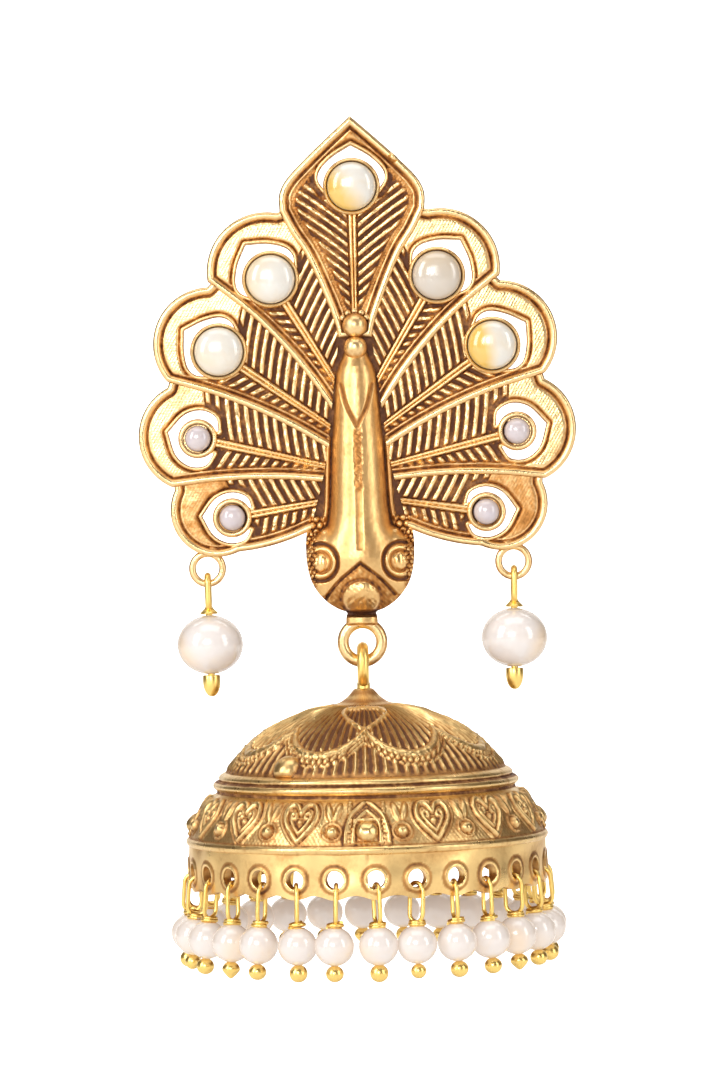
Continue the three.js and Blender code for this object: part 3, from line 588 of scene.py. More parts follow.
def gold_finish(name, patina, bronze, gold, mottle, bump):
    """Rubbed gold on brass, bare metal on its crests and a dull dark coat in its recesses."""
    finish = bpy.data.materials.new(name)
    finish.use_nodes = True
    tree = finish.node_tree
    shader = tree.nodes["Principled BSDF"]
    mask = tree.nodes.new("ShaderNodeAttribute")
    mask.attribute_name = "relief"
    group = tree.nodes.new("ShaderNodeGroup")
    group.node_tree = rubbed
    tree.links.new(mask.outputs["Fac"], group.inputs["Relief"])
    group.inputs["Mottle"].default_value = mottle
    group.inputs["Patina"].default_value = patina
    group.inputs["Bronze"].default_value = bronze
    group.inputs["Gold"].default_value = gold
    tree.links.new(group.outputs["Color"], shader.inputs["Base Color"])
    tree.links.new(group.outputs["Roughness"], shader.inputs["Roughness"])
    tree.links.new(ramp_node(tree, mask.outputs["Fac"], -0.15, 0.45), shader.inputs["Metallic"])
    grain = tree.nodes.new("ShaderNodeBump")
    grain.inputs["Strength"].default_value = bump
    grain.inputs["Distance"].default_value = 0.06 * mm
    tree.links.new(group.outputs["Grain"], grain.inputs["Height"])
    tree.links.new(grain.outputs["Normal"], shader.inputs["Normal"])
    return finish


stud_gold = gold_finish("antique_gold", (0.10, 0.032, 0.010, 1), (0.50, 0.225, 0.062, 1),
                        (0.87, 0.615, 0.30, 1), 0.34, 0.5)

side_outlines = {}
upper_border = smooth_path(crown_waist[::-1], outline_spacing)
for title, feather in feathers.items():
    below = smooth_path(border(feather["root"], feather["cusp"], feather["bow"]), outline_spacing)
    lobe = arc_points(feather["lobe"], feather["radius"], feather["cusp"], upper_border[-1], 40)
    edge = np.concatenate([below, lobe, upper_border[-1:]])
    side_outlines[title] = (edge, np.concatenate([edge, upper_border[::-1][1:]]))
    upper_border = below


def add_feather(title, feather, side, edge, outline, seed):
    hole, arch = eye_hole(feather, side)
    surface = feather_surface(feather, side, edge, arch, seed)
    leaf = carved_leaf(f"feather_{title}", outline, [hole], surface)
    dress(leaf, stud_gold, "stud", "peacock_stud")


for title, feather in feathers.items():
    for hand, side in (("left", -1), ("right", 1)):
        edge, outline = (path * (side, 1) for path in side_outlines[title])
        add_feather(f"{title}_{hand}", feather, side, edge, outline, seed=len(title) + side)

flank = smooth_path(crown_flank, outline_spacing)
waist = smooth_path(crown_waist, outline_spacing)
right_edge = np.concatenate([flank, waist[1:]])
crown_outline = np.concatenate([right_edge, right_edge[::-1][:-1] * (-1, 1)])
add_feather("crown", crown, 1, crown_outline, crown_outline, seed=3)

# The bezels are thin brass collars of the same casting that stand up round each stone. The five large
# ones hug their cabochons, the four small ones are thick rolled rings, and each is painted dark inside
# as the shadow in the gap round its stone.
large_cup = [(2.95, -0.15), (2.95, 0.62), (2.88, 0.80), (2.76, 0.87), (2.65, 0.81), (2.59, 0.66),
             (2.58, -0.15)]
small_cup = [(2.02, -0.15), (2.03, 0.42), (1.96, 0.68), (1.80, 0.82), (1.62, 0.80), (1.50, 0.62),
             (1.47, 0.30), (1.47, -0.15)]
cup_sides = 72
painted_gap_shadow = 0.12


def lathe(profile, sides, closed=False):
    """Points and faces of a profile of radius and height turned round the upright axis."""
    profile = np.array(profile, float)
    turns = np.linspace(0, 2 * math.pi, sides, endpoint=False)
    ring = np.stack([np.sin(turns), np.cos(turns)], -1)
    points = np.concatenate([
        np.concatenate([radius * ring, np.full((sides, 1), height)], 1) for radius, height in profile
    ])
    faces = []
    rows = len(profile)
    for row in range(rows if closed else rows - 1):
        below, above = row * sides, ((row + 1) % rows) * sides
        for k in range(sides):
            n = (k + 1) % sides
            faces.append((below + k, above + k, above + n, below + n))
    return points, faces


def facing_front(points, u, v, w):
    """Turns a lathed piece to face the front and sets it at a place on the stud."""
    return at_stud(points[:, 0] + u, points[:, 1] + v, points[:, 2] + w)


def all_stones():
    yield "crown", crown, 1
    for title, feather in feathers.items():
        yield f"{title}_left", feather, -1
        yield f"{title}_right", feather, 1


for title, feather, side in all_stones():
    profile = large_cup if feather["bezel"] > large_bezel else small_cup
    points, faces = lathe(profile, cup_sides)
    u, v = side * feather["stone"][0], feather["stone"][1]
    top = max(height for _, height in profile)
    shade = np.clip(0.25 + 0.7 * points[:, 2] / top, 0.1, 0.95)
    # The cup's inside wall is painted dark, as the shadow in the gap round the stone.
    shade = np.where(np.hypot(points[:, 0], points[:, 1]) < profile[-1][0] + 0.02, painted_gap_shadow, shade)
    cup = make_piece(f"bezel_{title}", facing_front(points, u, v, plate), faces, shade, sharp=50)
    dress(cup, stud_gold, "stud", "peacock_stud")

# The bird lies on the fan from the crown's foot to the ring: a smooth tapering neck, a round breast
# with a carved wing on each side, and a collar. It is cast in one with the fan, in brass, and
# polished, so only its grooves keep their dark patina.
neck_rows = [1.6, 3.0, 3.3, 5.1, 8.7, 11.0, 12.6, 14.0, 15.0, 20.7, 26.0, 27.7, 28.5, 29.3, 30.4, 31.4]
neck_halves = [1.5, 1.3, 1.7, 3.4, 3.9, 3.5, 3.15, 2.95, 2.88, 2.62, 2.18, 2.05, 1.8, 1.45, 1.05, 0.3]
neck_rises = [1.0, 0.7, 1.2, 2.2, 2.8, 2.8, 2.75, 2.7, 2.65, 2.45, 2.0, 1.9, 1.75, 1.45, 1.1, 0.2]
bird_edge = [(0, 32.7), (1.3, 32.5), (1.95, 31.2), (2.35, 29.0), (2.8, 26.0), (3.0, 24.0), (3.4, 20.0),
             (4.05, 17.0), (4.7, 14.5), (5.2, 12.8), (5.55, 11.0), (5.6, 9.3), (5.4, 7.5), (4.85, 5.9),
             (3.75, 4.45), (2.5, 3.55), (1.5, 3.12), (1.58, 2.75), (1.62, 2.2), (1.5, 1.8), (0, 1.75)]
breast_middle, breast_half, breast_tall, breast_rise = 7.9, 5.85, 5.1, 2.7
beak_line = [(1.65, 26.6), (1.05, 24.4), (0.02, 22.3)]
chevron_out, chevron_up = [0, 2.1, 3.5], [8.2, 6.5, 4.9]
chevron_line = [(3.5, 4.9), (2.1, 6.5), (0.02, 8.2)]
chest_boss, chest_boss_high = (1.95, 1.75), 0.6
chest_boss_up = 4.6
wing_eye, wing_boss = (4.1, 8.35), (4.15, 0.62, 0.98)
scratch = [(-3.3, 5.0), (-3.6, 4.6), (-3.75, 4.3)]
collar_notch, collar_half, collar_rise = 3.05, 1.75, 1.25


def groove(swell, shade, gap, half_wide, deep, dark):
    """Cuts a round-bottomed groove that holds dark patina."""
    share = np.clip(1 - (gap / half_wide) ** 2, 0, 1)
    return swell - deep * share, shade - dark * share


def raise_up(swell, shade, share, high, bright):
    """Lifts a share of the surface and rubs it bright."""
    return swell + high * share, shade + (bright - shade) * blend(share, 0.05, 0.5)


def neck_detail(v, side, folded, rough, swell, shade):
    """The seams beside the neck, the beak, the worn streak and the soft line down the breast."""
    half = np.interp(v, neck_rows, neck_halves)
    seam = np.clip(1 - ((side - half - 0.42) / 0.26) ** 2, 0, 1)
    seam = seam * blend(v, 12.0, 13.5) * (1 - blend(v, 20, 21.5))
    swell, shade = raise_up(swell, shade, np.sqrt(seam), 0.34, 0.58)
    beak = gap_to(folded, smooth_path(beak_line, 0.3))
    swell, shade = groove(swell, shade, beak, 0.26, 0.2, 0.5)
    streak = (1 - blend(side, 0.28, 0.5)) * blend(v, 15.4, 16.2) * (1 - blend(v, 21.6, 22.4))
    swell = swell + 0.09 * streak * (rough - 0.6)
    shade = shade - streak * (0.30 + 0.16 * rough)
    middle_line = np.where((v > 9.5) & (v < 15.8), side, 9)
    return groove(swell, shade, middle_line, 0.4, 0.09, 0.2)


def wing_detail(v, side, swell, shade):
    """The carved wing: grains along its edge, a cluster above it and a scroll with a boss."""
    grains = dots(side, v, 0.5) * blend(side, 4.45, 4.75) * blend(v, 5.6, 6.2) * (1 - blend(v, 11.2, 11.7))
    edge_zone = blend(side, 4.4, 4.7) * blend(v, 5.4, 6.0) * (1 - blend(v, 11.4, 12.0))
    shade = shade * (1 - 0.75 * edge_zone)
    swell, shade = raise_up(swell, shade, grains, 0.3, 0.78)
    cluster = dots(side - 0.2, v, 0.78) * blend(side, 3.4, 3.8)
    cluster = cluster * blend(v, 11.3, 11.6) * (1 - blend(v, 12.9, 13.2))
    swell, shade = raise_up(swell, shade, cluster, 0.42, 0.85)
    eye_gap = np.hypot(side - wing_eye[0], (v - wing_eye[1]) * 0.92)
    scroll = np.where(side < 4.9, np.abs(eye_gap - 1.78), 9)
    swell, shade = groove(swell, shade, scroll, 0.24, 0.34, 0.75)
    hoop_gap = np.where(side < 4.7, eye_gap - 1.32, 9)
    hoop = np.sqrt(np.clip(1 - (hoop_gap / 0.24) ** 2, 0, 1))
    swell, shade = raise_up(swell, shade, hoop, 0.24, 0.88)
    swell, shade = groove(swell, shade, np.abs(eye_gap - 0.98), 0.2, 0.12, 0.45)
    boss_place, boss_half, boss_tall = wing_boss
    boss = np.clip(1 - ((side - boss_place) / boss_half) ** 2 - ((v - wing_eye[1]) / boss_tall) ** 2, 0, 1)
    return raise_up(swell, shade, np.sqrt(boss), 0.34, 0.9)


def chest_detail(net, v, side, folded, rough, swell, shade):
    """The chevron low on the breast with its oval boss, a scratch, and the collar under a notch."""
    chevron = gap_to(folded, smooth_path(chevron_line, 0.3))
    below = (v < np.interp(side, chevron_out, chevron_up)) & (v > 3.2)
    shade = np.where(below, 0.46 + 0.14 * rough, shade)
    swell = np.where(below, swell - 0.10 + 0.03 * rough, swell)
    swell, shade = groove(swell, shade, chevron, 0.22, 0.26, 0.55)
    oval = np.abs(np.hypot(side / 2.1, (v - chest_boss_up) / 1.9) - 1) * 2
    swell, shade = groove(swell, shade, oval, 0.22, 0.15, 0.3)
    boss = np.clip(1 - (side / chest_boss[0]) ** 2 - ((v - chest_boss_up) / chest_boss[1]) ** 2, 0, 1)
    swell, shade = raise_up(swell, shade, np.sqrt(boss), chest_boss_high, 0.78)
    swell, shade = groove(swell, shade, gap_to(net, np.array(scratch)), 0.16, 0.4, 0.9)
    swell, shade = groove(swell, shade, np.abs(v - collar_notch), 0.3, 0.7, 0.8)
    across = np.clip(1 - (side / collar_half) ** 2, 0, 1) ** 0.4
    collar = blend(v, 1.7, 1.95) * (1 - blend(v, 2.6, 2.8)) * across
    swell = np.maximum(swell, collar_rise * collar)
    return swell, np.where(v < 2.7, 0.35 + 0.5 * collar, shade)


def bird_surface(net):
    u, v = net.T
    side = np.abs(u)
    folded = np.stack([side, v], -1)
    waves = np.random.default_rng(11).uniform(-1, 1, (16, 3)) * (16, 16, 3.14)
    rough = sum(np.sin(net @ wave[:2] + wave[2]) for wave in waves) / 5
    half = np.interp(v, neck_rows, neck_halves)
    rise = np.interp(v, neck_rows, neck_rises)
    column = rise * np.clip(1 - (side / half) ** 2, 0, 1) ** 0.52
    breast = 1 - (side / breast_half) ** 2 - ((v - breast_middle) / breast_tall) ** 2
    breast = breast_rise * np.clip(breast, 0, 1) ** 0.5
    swell = (column**4 + breast**4) ** 0.25
    shade = 0.10 + 0.63 * blend(swell, 0.05, 1.0) + 0.04 * rough
    swell = swell + 0.006 * rough
    swell, shade = neck_detail(v, side, folded, rough, swell, shade)
    swell, shade = wing_detail(v, side, swell, shade)
    swell, shade = chest_detail(net, v, side, folded, rough, swell, shade)
    return plate + 0.05 + np.maximum(swell, 0), np.clip(shade, 0, 1)


bird_gold = gold_finish("polished_bird_gold", (0.10, 0.032, 0.010, 1), (0.50, 0.225, 0.062, 1),
                        (0.84, 0.54, 0.225, 1), 0.15, 0.16)
bird_right = smooth_path(bird_edge, 0.2)
bird_outline = np.concatenate([bird_right, bird_right[::-1][1:-1] * (-1, 1)])
bird = carved_leaf("bird_neck_and_breast", bird_outline, [], bird_surface, back=0.04)
dress(bird, bird_gold, "stud", "peacock_stud")

# The bird's head is two brass balls, one over the other, with a little fan of beads on top. They are
# cast on the fan with the rest, and each row gives a ball's place, its radius and its middle's height.
head_balls = [(0, 32.7, 1.28, 0.9), (0, 30.4, 1.2, 0.95)]
fan_beads = 5
fan_bead, fan_bead_up = 0.34, 0.25
fan_reach, fan_middle = 1.5, 32.72
fan_turn = 28
for k in range(fan_beads):
    swing = math.radians(fan_turn * (k - 2))
    head_balls.append((fan_reach * math.sin(swing), fan_middle + fan_reach * math.cos(swing),
                       fan_bead, fan_bead_up))


def ball_net(radius, rows, sides, squash=1.0):
    turns = np.linspace(0, math.pi, rows)
    profile = [(max(radius * math.sin(t), 1e-5), -radius * squash * math.cos(t)) for t in turns]
    return lathe(profile, sides)


for number, (u, v, radius, up) in enumerate(head_balls):
    fine_ball = radius > 1
    points, faces = ball_net(radius, 30 if fine_ball else 14, 48 if fine_ball else 20)
    shade = 0.16 + 0.68 * blend(points[:, 2], -0.2 * radius, 0.75 * radius)
    ball = make_piece(f"bird_head_{number}", facing_front(points, u, v, plate + up), faces, shade)
    dress(ball, stud_gold, "stud", "peacock_stud")

# Three brass rings are cast on the stud: the thick one under the bird, which carries the dome, and a
# thin one under each bottom feather, which carries a side drop and sits in a blob of solder.
centre_ring = dict(radius=2.0, wire=1.2)
side_ring = dict(radius=1.56, wire=0.74)
side_ring_place = (15.84, 7.98)
ring_depth = 0.85
solder_radius = 0.62
solder_in, solder_up = 0.55, 1.75


def tube(path, wire_radius, sides, closed=True):
    """Points and faces of a round wire along a path, with the frame carried along it untwisted."""
    path = np.asarray(path, float)
    count = len(path)
    if closed:
        ahead = np.roll(path, -1, 0) - np.roll(path, 1, 0)
    else:
        ahead = np.gradient(path, axis=0)
    ahead /= np.linalg.norm(ahead, axis=1)[:, None]
    normal = np.cross(ahead[0], (0.31, 0.77, 0.55))
    normal /= np.linalg.norm(normal)
    rings = []
    frames = []
    for at in range(count):
        normal = normal - ahead[at] * (normal @ ahead[at])
        normal /= np.linalg.norm(normal)
        frames.append(normal)
    slip = 0.0
    if closed:
        last = frames[-1] - ahead[0] * (frames[-1] @ ahead[0])
        last /= np.linalg.norm(last)
        slip = math.atan2(np.cross(frames[0], last) @ ahead[0], frames[0] @ last)
    for at in range(count):
        turns = np.linspace(0, 2 * math.pi, sides, endpoint=False) - slip * at / count
        second = np.cross(ahead[at], frames[at])
        around = np.cos(turns)[:, None] * frames[at] + np.sin(turns)[:, None] * second
        rings.append(path[at] + wire_radius * around)
    points = np.concatenate(rings)
    faces = []
    for at in range(count if closed else count - 1):
        here, there = at * sides, ((at + 1) % count) * sides
        for k in range(sides):
            n = (k + 1) % sides
            faces.append((here + k, here + n, there + n, there + k))
    if not closed:
        faces.append(tuple(reversed(range(sides))))
        faces.append(tuple(range((count - 1) * sides, count * sides)))
    return points, faces


def flat_circle(u, v, w, radius, steps):
    turns = np.linspace(0, 2 * math.pi, steps, endpoint=False)
    return np.stack([u + radius * np.cos(turns), v + radius * np.sin(turns), np.full(steps, w)], -1)


all_rings = (
    ("centre", 0, 0, centre_ring),
    ("left", -side_ring_place[0], side_ring_place[1], side_ring),
    ("right", *side_ring_place, side_ring),
)
for title, u, v, size in all_rings:
    points, faces = tube(flat_circle(u, v, ring_depth, size["radius"], 72), size["wire"] / 2, 20)
    from_middle = np.hypot(points[:, 0] - u, points[:, 1] - v)
    shade = 0.58 + 0.3 * blend(points[:, 2], ring_depth - 0.1, ring_depth + 0.3)
    # A painted dark band on each ring's outer shoulder: the dark stripe of reflection between two
    # highlights on the round wire.
    reflection_dark_band = np.abs(from_middle - size["radius"] - size["wire"] * 0.36) < size["wire"] * 0.09
    shade = shade - 0.4 * reflection_dark_band
    hoop = make_piece(f"ring_{title}", at_stud(*points.T), faces, shade)
    dress(hoop, stud_gold, "stud", "peacock_stud")
for side in (-1, 1):
    points, faces = ball_net(solder_radius, 16, 24)
    shade = np.full(len(points), 0.6)
    place = facing_front(points, side * (side_ring_place[0] - solder_in), side_ring_place[1] + solder_up,
                         ring_depth)
    solder = make_piece(f"ring_solder_{'left' if side < 0 else 'right'}", place, faces, shade)
    dress(solder, stud_gold, "stud", "peacock_stud")

# The post on the back is a brass pin with its pad soldered to the fan, level with the ear. It has a
# rounded tip and the shallow groove that its butterfly clip snaps into.
post_height = 34.0
post_profile = [(0.0001, 10.62), (0.3, 10.58), (0.46, 10.4), (0.5, 10.15), (0.5, 9.0), (0.38, 8.8),
                (0.38, 8.5), (0.5, 8.3), (0.5, 0.9), (0.56, 0.5), (0.85, 0.2), (2.3, 0.12),
                (2.47, 0.05), (2.5, -0.1), (2.48, -0.36), (0.0001, -0.38)]


def flipped(faces):
    """The faces turned over, for a net whose points were mirrored."""
    return [face[::-1] for face in faces]


wire_gold = gold_finish("bright_yellow_gold", (0.30, 0.13, 0.03, 1), (0.78, 0.42, 0.09, 1),
                        (0.98, 0.70, 0.22, 1), 0.10, 0.06)
points, faces = lathe(post_profile, 48)
post = make_piece("ear_post_pin", at_stud(points[:, 0], points[:, 1] + post_height, -points[:, 2]),
                  flipped(faces), np.full(len(points), 0.72), sharp=50)
dress(post, wire_gold, "stud", "ear_post")

# Five mother-of-pearl cabochons, low domes of shell whose colour is white, grey or golden from one side
# to the other, and four half pearls. Each is glued in its bezel. gold_sides gives the way, in degrees,
# to a cabochon's golden side, and how golden it is there.
stone_floor = 1.22
cabochon_profile = [(0.0001, 0.0), (2.5, 0.0), (2.55, 0.25), (2.53, 0.6), (2.42, 0.95), (2.18, 1.27),
                    (1.82, 1.53), (1.35, 1.73), (0.8, 1.85), (0.3, 1.895), (0.0001, 1.9)]
half_pearl_profile = [(0.0001, 0.0), (1.2, 0.0), (1.33, 0.12), (1.35, 0.35), (1.29, 0.68), (1.12, 1.0),
                      (0.85, 1.26), (0.5, 1.43), (0.2, 1.49), (0.0001, 1.5)]
cabochon_radius = 2.55
half_pearl_warmth = 0.15
gold_sides = {"crown": (215, 1.05), "upper_left": (160, 0.3), "upper_right": (90, 0.4),
              "middle_left": (230, 0.16), "middle_right": (190, 1.35)}

nacre, given, put = node_group(
    "nacre",
    [("Warmth", "NodeSocketFloat", 0.0), ("Scale", "NodeSocketFloat", 200.0),
     ("Pale", "NodeSocketColor", (0.85, 0.83, 0.80, 1)),
     ("Warm", "NodeSocketColor", (0.85, 0.6, 0.25, 1))],
    [("Color", "NodeSocketColor"), ("Height", "NodeSocketFloat")],
)
place_node = nacre.nodes.new("ShaderNodeTexCoord")
cloud = nacre.nodes.new("ShaderNodeTexNoise")
cloud.inputs["Detail"].default_value = 4.0
cloud.inputs["Distortion"].default_value = 1.2
nacre.links.new(place_node.outputs["Object"], cloud.inputs["Vector"])
nacre.links.new(given.outputs["Scale"], cloud.inputs["Scale"])
cloudy = math_node(nacre, "MULTIPLY", math_node(nacre, "SUBTRACT", cloud.outputs["Fac"], 0.5), 0.7)
share = math_node(nacre, "ADD", given.outputs["Warmth"], cloudy, clamp=True)
nacre.links.new(mix_node(nacre, share, given.outputs["Pale"], given.outputs["Warm"]), put.inputs["Color"])
nacre.links.new(cloud.outputs["Fac"], put.inputs["Height"])


def pearl_finish(name, pale, warm, rim, scale, rough, through):
    """Nacre painted darker and warmer at its rim, as shade and gold reflection at its edge; through is the
    strength of a painted warm glow that lifts pearls lying in shade.
    """
    finish = bpy.data.materials.new(name)
    finish.use_nodes = True
    tree = finish.node_tree
    shader = tree.nodes["Principled BSDF"]
    mask = tree.nodes.new("ShaderNodeAttribute")
    mask.attribute_name = "relief"
    group = tree.nodes.new("ShaderNodeGroup")
    group.node_tree = nacre
    tree.links.new(mask.outputs["Fac"], group.inputs["Warmth"])
    group.inputs["Scale"].default_value = scale
    group.inputs["Pale"].default_value = pale
    group.inputs["Warm"].default_value = warm
    # The outline takes the darker rim colour: painted shade and gold reflection at the pearl's edge.
    edge = tree.nodes.new("ShaderNodeLayerWeight")
    edge.inputs["Blend"].default_value = 0.45
    painted_edge_shade = ramp_node(tree, edge.outputs["Facing"], 0.2, 0.95)
    tree.links.new(mix_node(tree, painted_edge_shade, group.outputs["Color"], rim), shader.inputs["Base Color"])
    shader.inputs["Roughness"].default_value = rough
    shader.inputs["IOR"].default_value = 1.56
    shader.inputs["Coat Weight"].default_value = 0.8
    shader.inputs["Coat Roughness"].default_value = 0.07
    shader.inputs["Subsurface Weight"].default_value = 0.12
    shader.inputs["Subsurface Radius"].default_value = (0.6, 0.45, 0.35)
    shader.inputs["Subsurface Scale"].default_value = 0.8 * mm
    # The warm emission is a painted glow that lifts the pearls lying in shade; through sets its strength.
    shader.inputs["Emission Color"].default_value = (1.0, 0.84, 0.70, 1)
    shader.inputs["Emission Strength"].default_value = through
    bump = tree.nodes.new("ShaderNodeBump")
    bump.inputs["Strength"].default_value = 0.12
    bump.inputs["Distance"].default_value = 0.05 * mm
    tree.links.new(group.outputs["Height"], bump.inputs["Height"])
    tree.links.new(bump.outputs["Normal"], shader.inputs["Normal"])
    return finish


shell_white = pearl_finish("mother_of_pearl_shell", (0.70, 0.67, 0.61, 1), (0.74, 0.48, 0.11, 1),
                           (0.42, 0.34, 0.22, 1), 260.0, 0.2, 0.0)
half_pearl_lilac = pearl_finish("lilac_grey_pearl", (0.56, 0.50, 0.53, 1), (0.66, 0.55, 0.44, 1),
                                (0.32, 0.26, 0.28, 1), 300.0, 0.2, 0.0)
shell_grey = pearl_finish("grey_shell", (0.56, 0.50, 0.43, 1), (0.64, 0.48, 0.28, 1),
                          (0.28, 0.22, 0.17, 1), 260.0, 0.2, 0.0)
for title, feather, side in all_stones():
    large = feather["bezel"] > large_bezel
    profile = smooth_path(cabochon_profile if large else half_pearl_profile, 0.14)
    points, faces = lathe(profile, 64 if large else 48)
    place = facing_front(points, side * feather["stone"][0], feather["stone"][1], stone_floor)
    if large:
        way, share = gold_sides[title]
        lean = points[:, 0] * math.cos(math.radians(way)) + points[:, 1] * math.sin(math.radians(way))
        golden = share * blend(lean / cabochon_radius, -0.35, 0.75)
        stone = make_piece(f"stone_{title}", place, faces, golden)
        shell = shell_grey if title == "upper_right" else shell_white
        dress(stone, shell, "stud", f"cabochon_{title}")
    else:
        stone = make_piece(f"stone_{title}", place, faces, np.full(len(points), half_pearl_warmth))
        dress(stone, half_pearl_lilac, "stud", f"half_pearl_{title}")

# Each side drop is a brass head pin bent to a loop through the side ring, a cultured-look pearl drilled
# through and threaded on the pin, and a turned tip that holds the pearl up.
loop_radius = 0.86
loop_length = 3.4
loop_wire = 0.66
pin_collar = [(0.0001, -2.3), (0.36, -2.32), (0.42, -2.5), (0.62, -2.72), (0.86, -2.95), (0.92, -3.06),
              (0.88, -3.14), (0.35, -3.16), (0.35, -9.46), (0.86, -9.47), (0.9, -9.56), (0.9, -10.3),
              (0.84, -10.75), (0.68, -11.2), (0.42, -11.55), (0.15, -11.67), (0.0001, -11.68)]
pearl_wide, pearl_tall = 6.8, 6.1
pearl_middle = -6.31
pearl_bore = 0.5
side_pearl_reflection = 0.95
side_drop_leans = (("left", -1, 0.8), ("right", 1, -1.0))


def wire_eye(radius, length, steps):
    """A closed wire loop in the side plane: two legs with round ends, its top arc's centre at 0."""
    straight = length - 2 * radius
    path = []
    for k in range(steps):
        turn = math.pi * k / (steps - 1)
        path.append((0, radius * math.sin(turn), radius * math.cos(turn)))
    for k in range(steps):
        turn = math.pi * k / (steps - 1)
        path.append((0, -straight - radius * math.sin(turn), -radius * math.cos(turn)))
    return path


def join_nets(*nets):
    points, faces, shades = [], [], []
    count = 0
    for net_points, net_faces, shade in nets:
        points.append(net_points)
        faces += [tuple(corner + count for corner in face) for face in net_faces]
        shades.append(np.broadcast_to(shade, len(net_points)))
        count += len(net_points)
    return np.concatenate(points), faces, np.concatenate(shades)


def upright(points):
    """A lathed piece's points with its axis standing up: x right, y up, z to the front."""
    return np.stack([points[:, 0], points[:, 2], points[:, 1]], -1)


side_pearl_white = pearl_finish("cream_white_pearl", (0.62, 0.585, 0.57, 1), (0.68, 0.46, 0.22, 1),
                                (0.42, 0.33, 0.25, 1), 150.0, 0.2, 0.17)
hang_v = side_ring_place[1] - side_ring["radius"]
for hand, side, tilt in side_drop_leans:
    hang_u = side * side_ring_place[0]
    lean = math.radians(tilt)
    eye_points, eye_faces = tube(wire_eye(loop_radius, loop_length, 20), loop_wire / 2, 14)
    spun, spun_faces = lathe(pin_collar, 40)
    metal_points, metal_faces, shades = join_nets(
        (eye_points, eye_faces, 0.8), (upright(spun), flipped(spun_faces), 0.82))
    pole = math.asin(2 * pearl_bore / pearl_wide)
    turns = np.linspace(pole, math.pi - pole, 44)
    outside = [(pearl_wide / 2 * math.sin(t), pearl_middle + pearl_tall / 2 * math.cos(t)) for t in turns]
    drilled = outside + [(pearl_bore, outside[-1][1]), (pearl_bore, outside[0][1])]
    pearl_points, pearl_faces = lathe(drilled, 72, closed=True)
    pearl_points = upright(pearl_points)
    # Each pearl is warmer towards its outer side and bottom: a painted reflection of the gold round it.
    across = (pearl_points[:, 0] * 0.8 * side - (pearl_points[:, 1] - pearl_middle) * 0.35) / 3.4
    reflected_gold = side_pearl_reflection * blend(across, 0.25, 0.95)

    def hung(points):
        x, y, z = points.T
        return at_stud(hang_u + x * math.cos(lean) - y * math.sin(lean),
                       hang_v + x * math.sin(lean) + y * math.cos(lean), ring_depth + z)

    pin = make_piece(f"side_pin_{hand}", hung(metal_points), metal_faces, shades, sharp=50)
    dress(pin, wire_gold, "stud", f"side_drop_pin_{hand}")
    pearl = make_piece(f"side_pearl_{hand}", hung(pearl_points), flipped(pearl_faces), reflected_gold)
    dress(pearl, side_pearl_white, "stud", f"side_drop_pearl_{hand}")

# The bail is a loop of bright plated brass wire that hangs in the centre ring. Its stem goes through
# the dome's head and is spread to a button inside.
bail_radius = 1.42
bail_wire = 1.2
bail_reach = 3.5
bail_stem = [(0.0001, -1.9), (0.5, -1.9), (0.66, -2.2), (0.68, -2.55), (0.68, -5.4), (1.3, -5.42),
             (1.28, -6.3), (1.0, -6.58), (0.0001, -6.6)]
loop_points, loop_faces = tube(wire_eye(bail_radius, bail_reach, 24), bail_wire / 2, 20)
# A painted shade line down the middle of the wire's front, which makes the bail read as two strands.
strand_shade_line = np.abs(loop_points[:, 0]) < 0.08
stem_points, stem_faces = lathe(bail_stem, 40)
points, faces, shades = join_nets(
    (loop_points, loop_faces, 0.86 - 0.3 * strand_shade_line), (upright(stem_points), flipped(stem_faces), 0.8))
place = at_stud(points[:, 0], points[:, 1] - centre_ring["radius"], points[:, 2] + ring_depth)
bail = make_piece("bail_wire", place, faces, shades, sharp=50)
dress(bail, wire_gold, "dome", "dome_bail")

# The dome is one brass casting, hollow and open below, plated and rubbed like the stud. Fine ribs run
# down from its head and end in eight swags. Under a double ridge comes a frieze of hearts and four
# arches with round bosses between.
dome_outer = [(0.86, -4.80), (1.0, -4.86), (1.3, -5.2), (1.85, -5.75), (2.6, -6.22), (4.2, -6.66),
              (6.0, -7.2), (7.9, -7.95), (9.3, -8.6), (10.6, -9.42), (12.0, -10.5), (13.2, -11.6),
              (14.1, -12.6), (14.5, -13.1)]
dome_inner = [(13.9, -13.55), (11.6, -11.6), (9.6, -10.0), (7.4, -8.85), (4.6, -7.75), (2.4, -7.1),
              (0.85, -6.15), (0.8, -5.0)]
ridge_outer = [(14.5, -13.1), (14.85, -13.25), (15.15, -13.5), (15.2, -13.75), (15.1, -13.9),
               (15.45, -14.0), (15.75, -14.25), (15.8, -14.5), (15.65, -14.75), (15.4, -14.95),
               (15.5, -15.25), (15.9, -15.55), (16.5, -16.1), (17.2, -17.2), (17.8, -18.3),
               (18.2, -19.2), (18.35, -19.6), (18.62, -19.85), (18.7, -20.1), (18.6, -20.4),
               (18.42, -20.55)]
ridge_inner = [(17.6, -20.55), (17.4, -19.4), (16.3, -17.3), (14.9, -15.6), (13.8, -13.6)]
dome_ribs = 84
rib_deep = 0.26
dome_swags = 8
swag_top, swag_drop = -8.75, 2.3
loose_end = [(0.0, -8.75), (1.2, -8.1), (2.0, -7.45), (2.1, -7.1), (1.5, -6.85), (0.0, -6.75)]
blob_turn, blob_up = math.radians(325), -12.3
blob_radius, blob_high = 1.4, 1.0
frieze_panels = 16
frieze_radius, frieze_middle, frieze_stretch = 17.2, -17.5, 1.14
panel_half = math.pi * frieze_radius / frieze_panels
ribbed_columns, ribbed_spacing = 840, 0.16
frieze_columns, frieze_spacing = 1088, 0.14

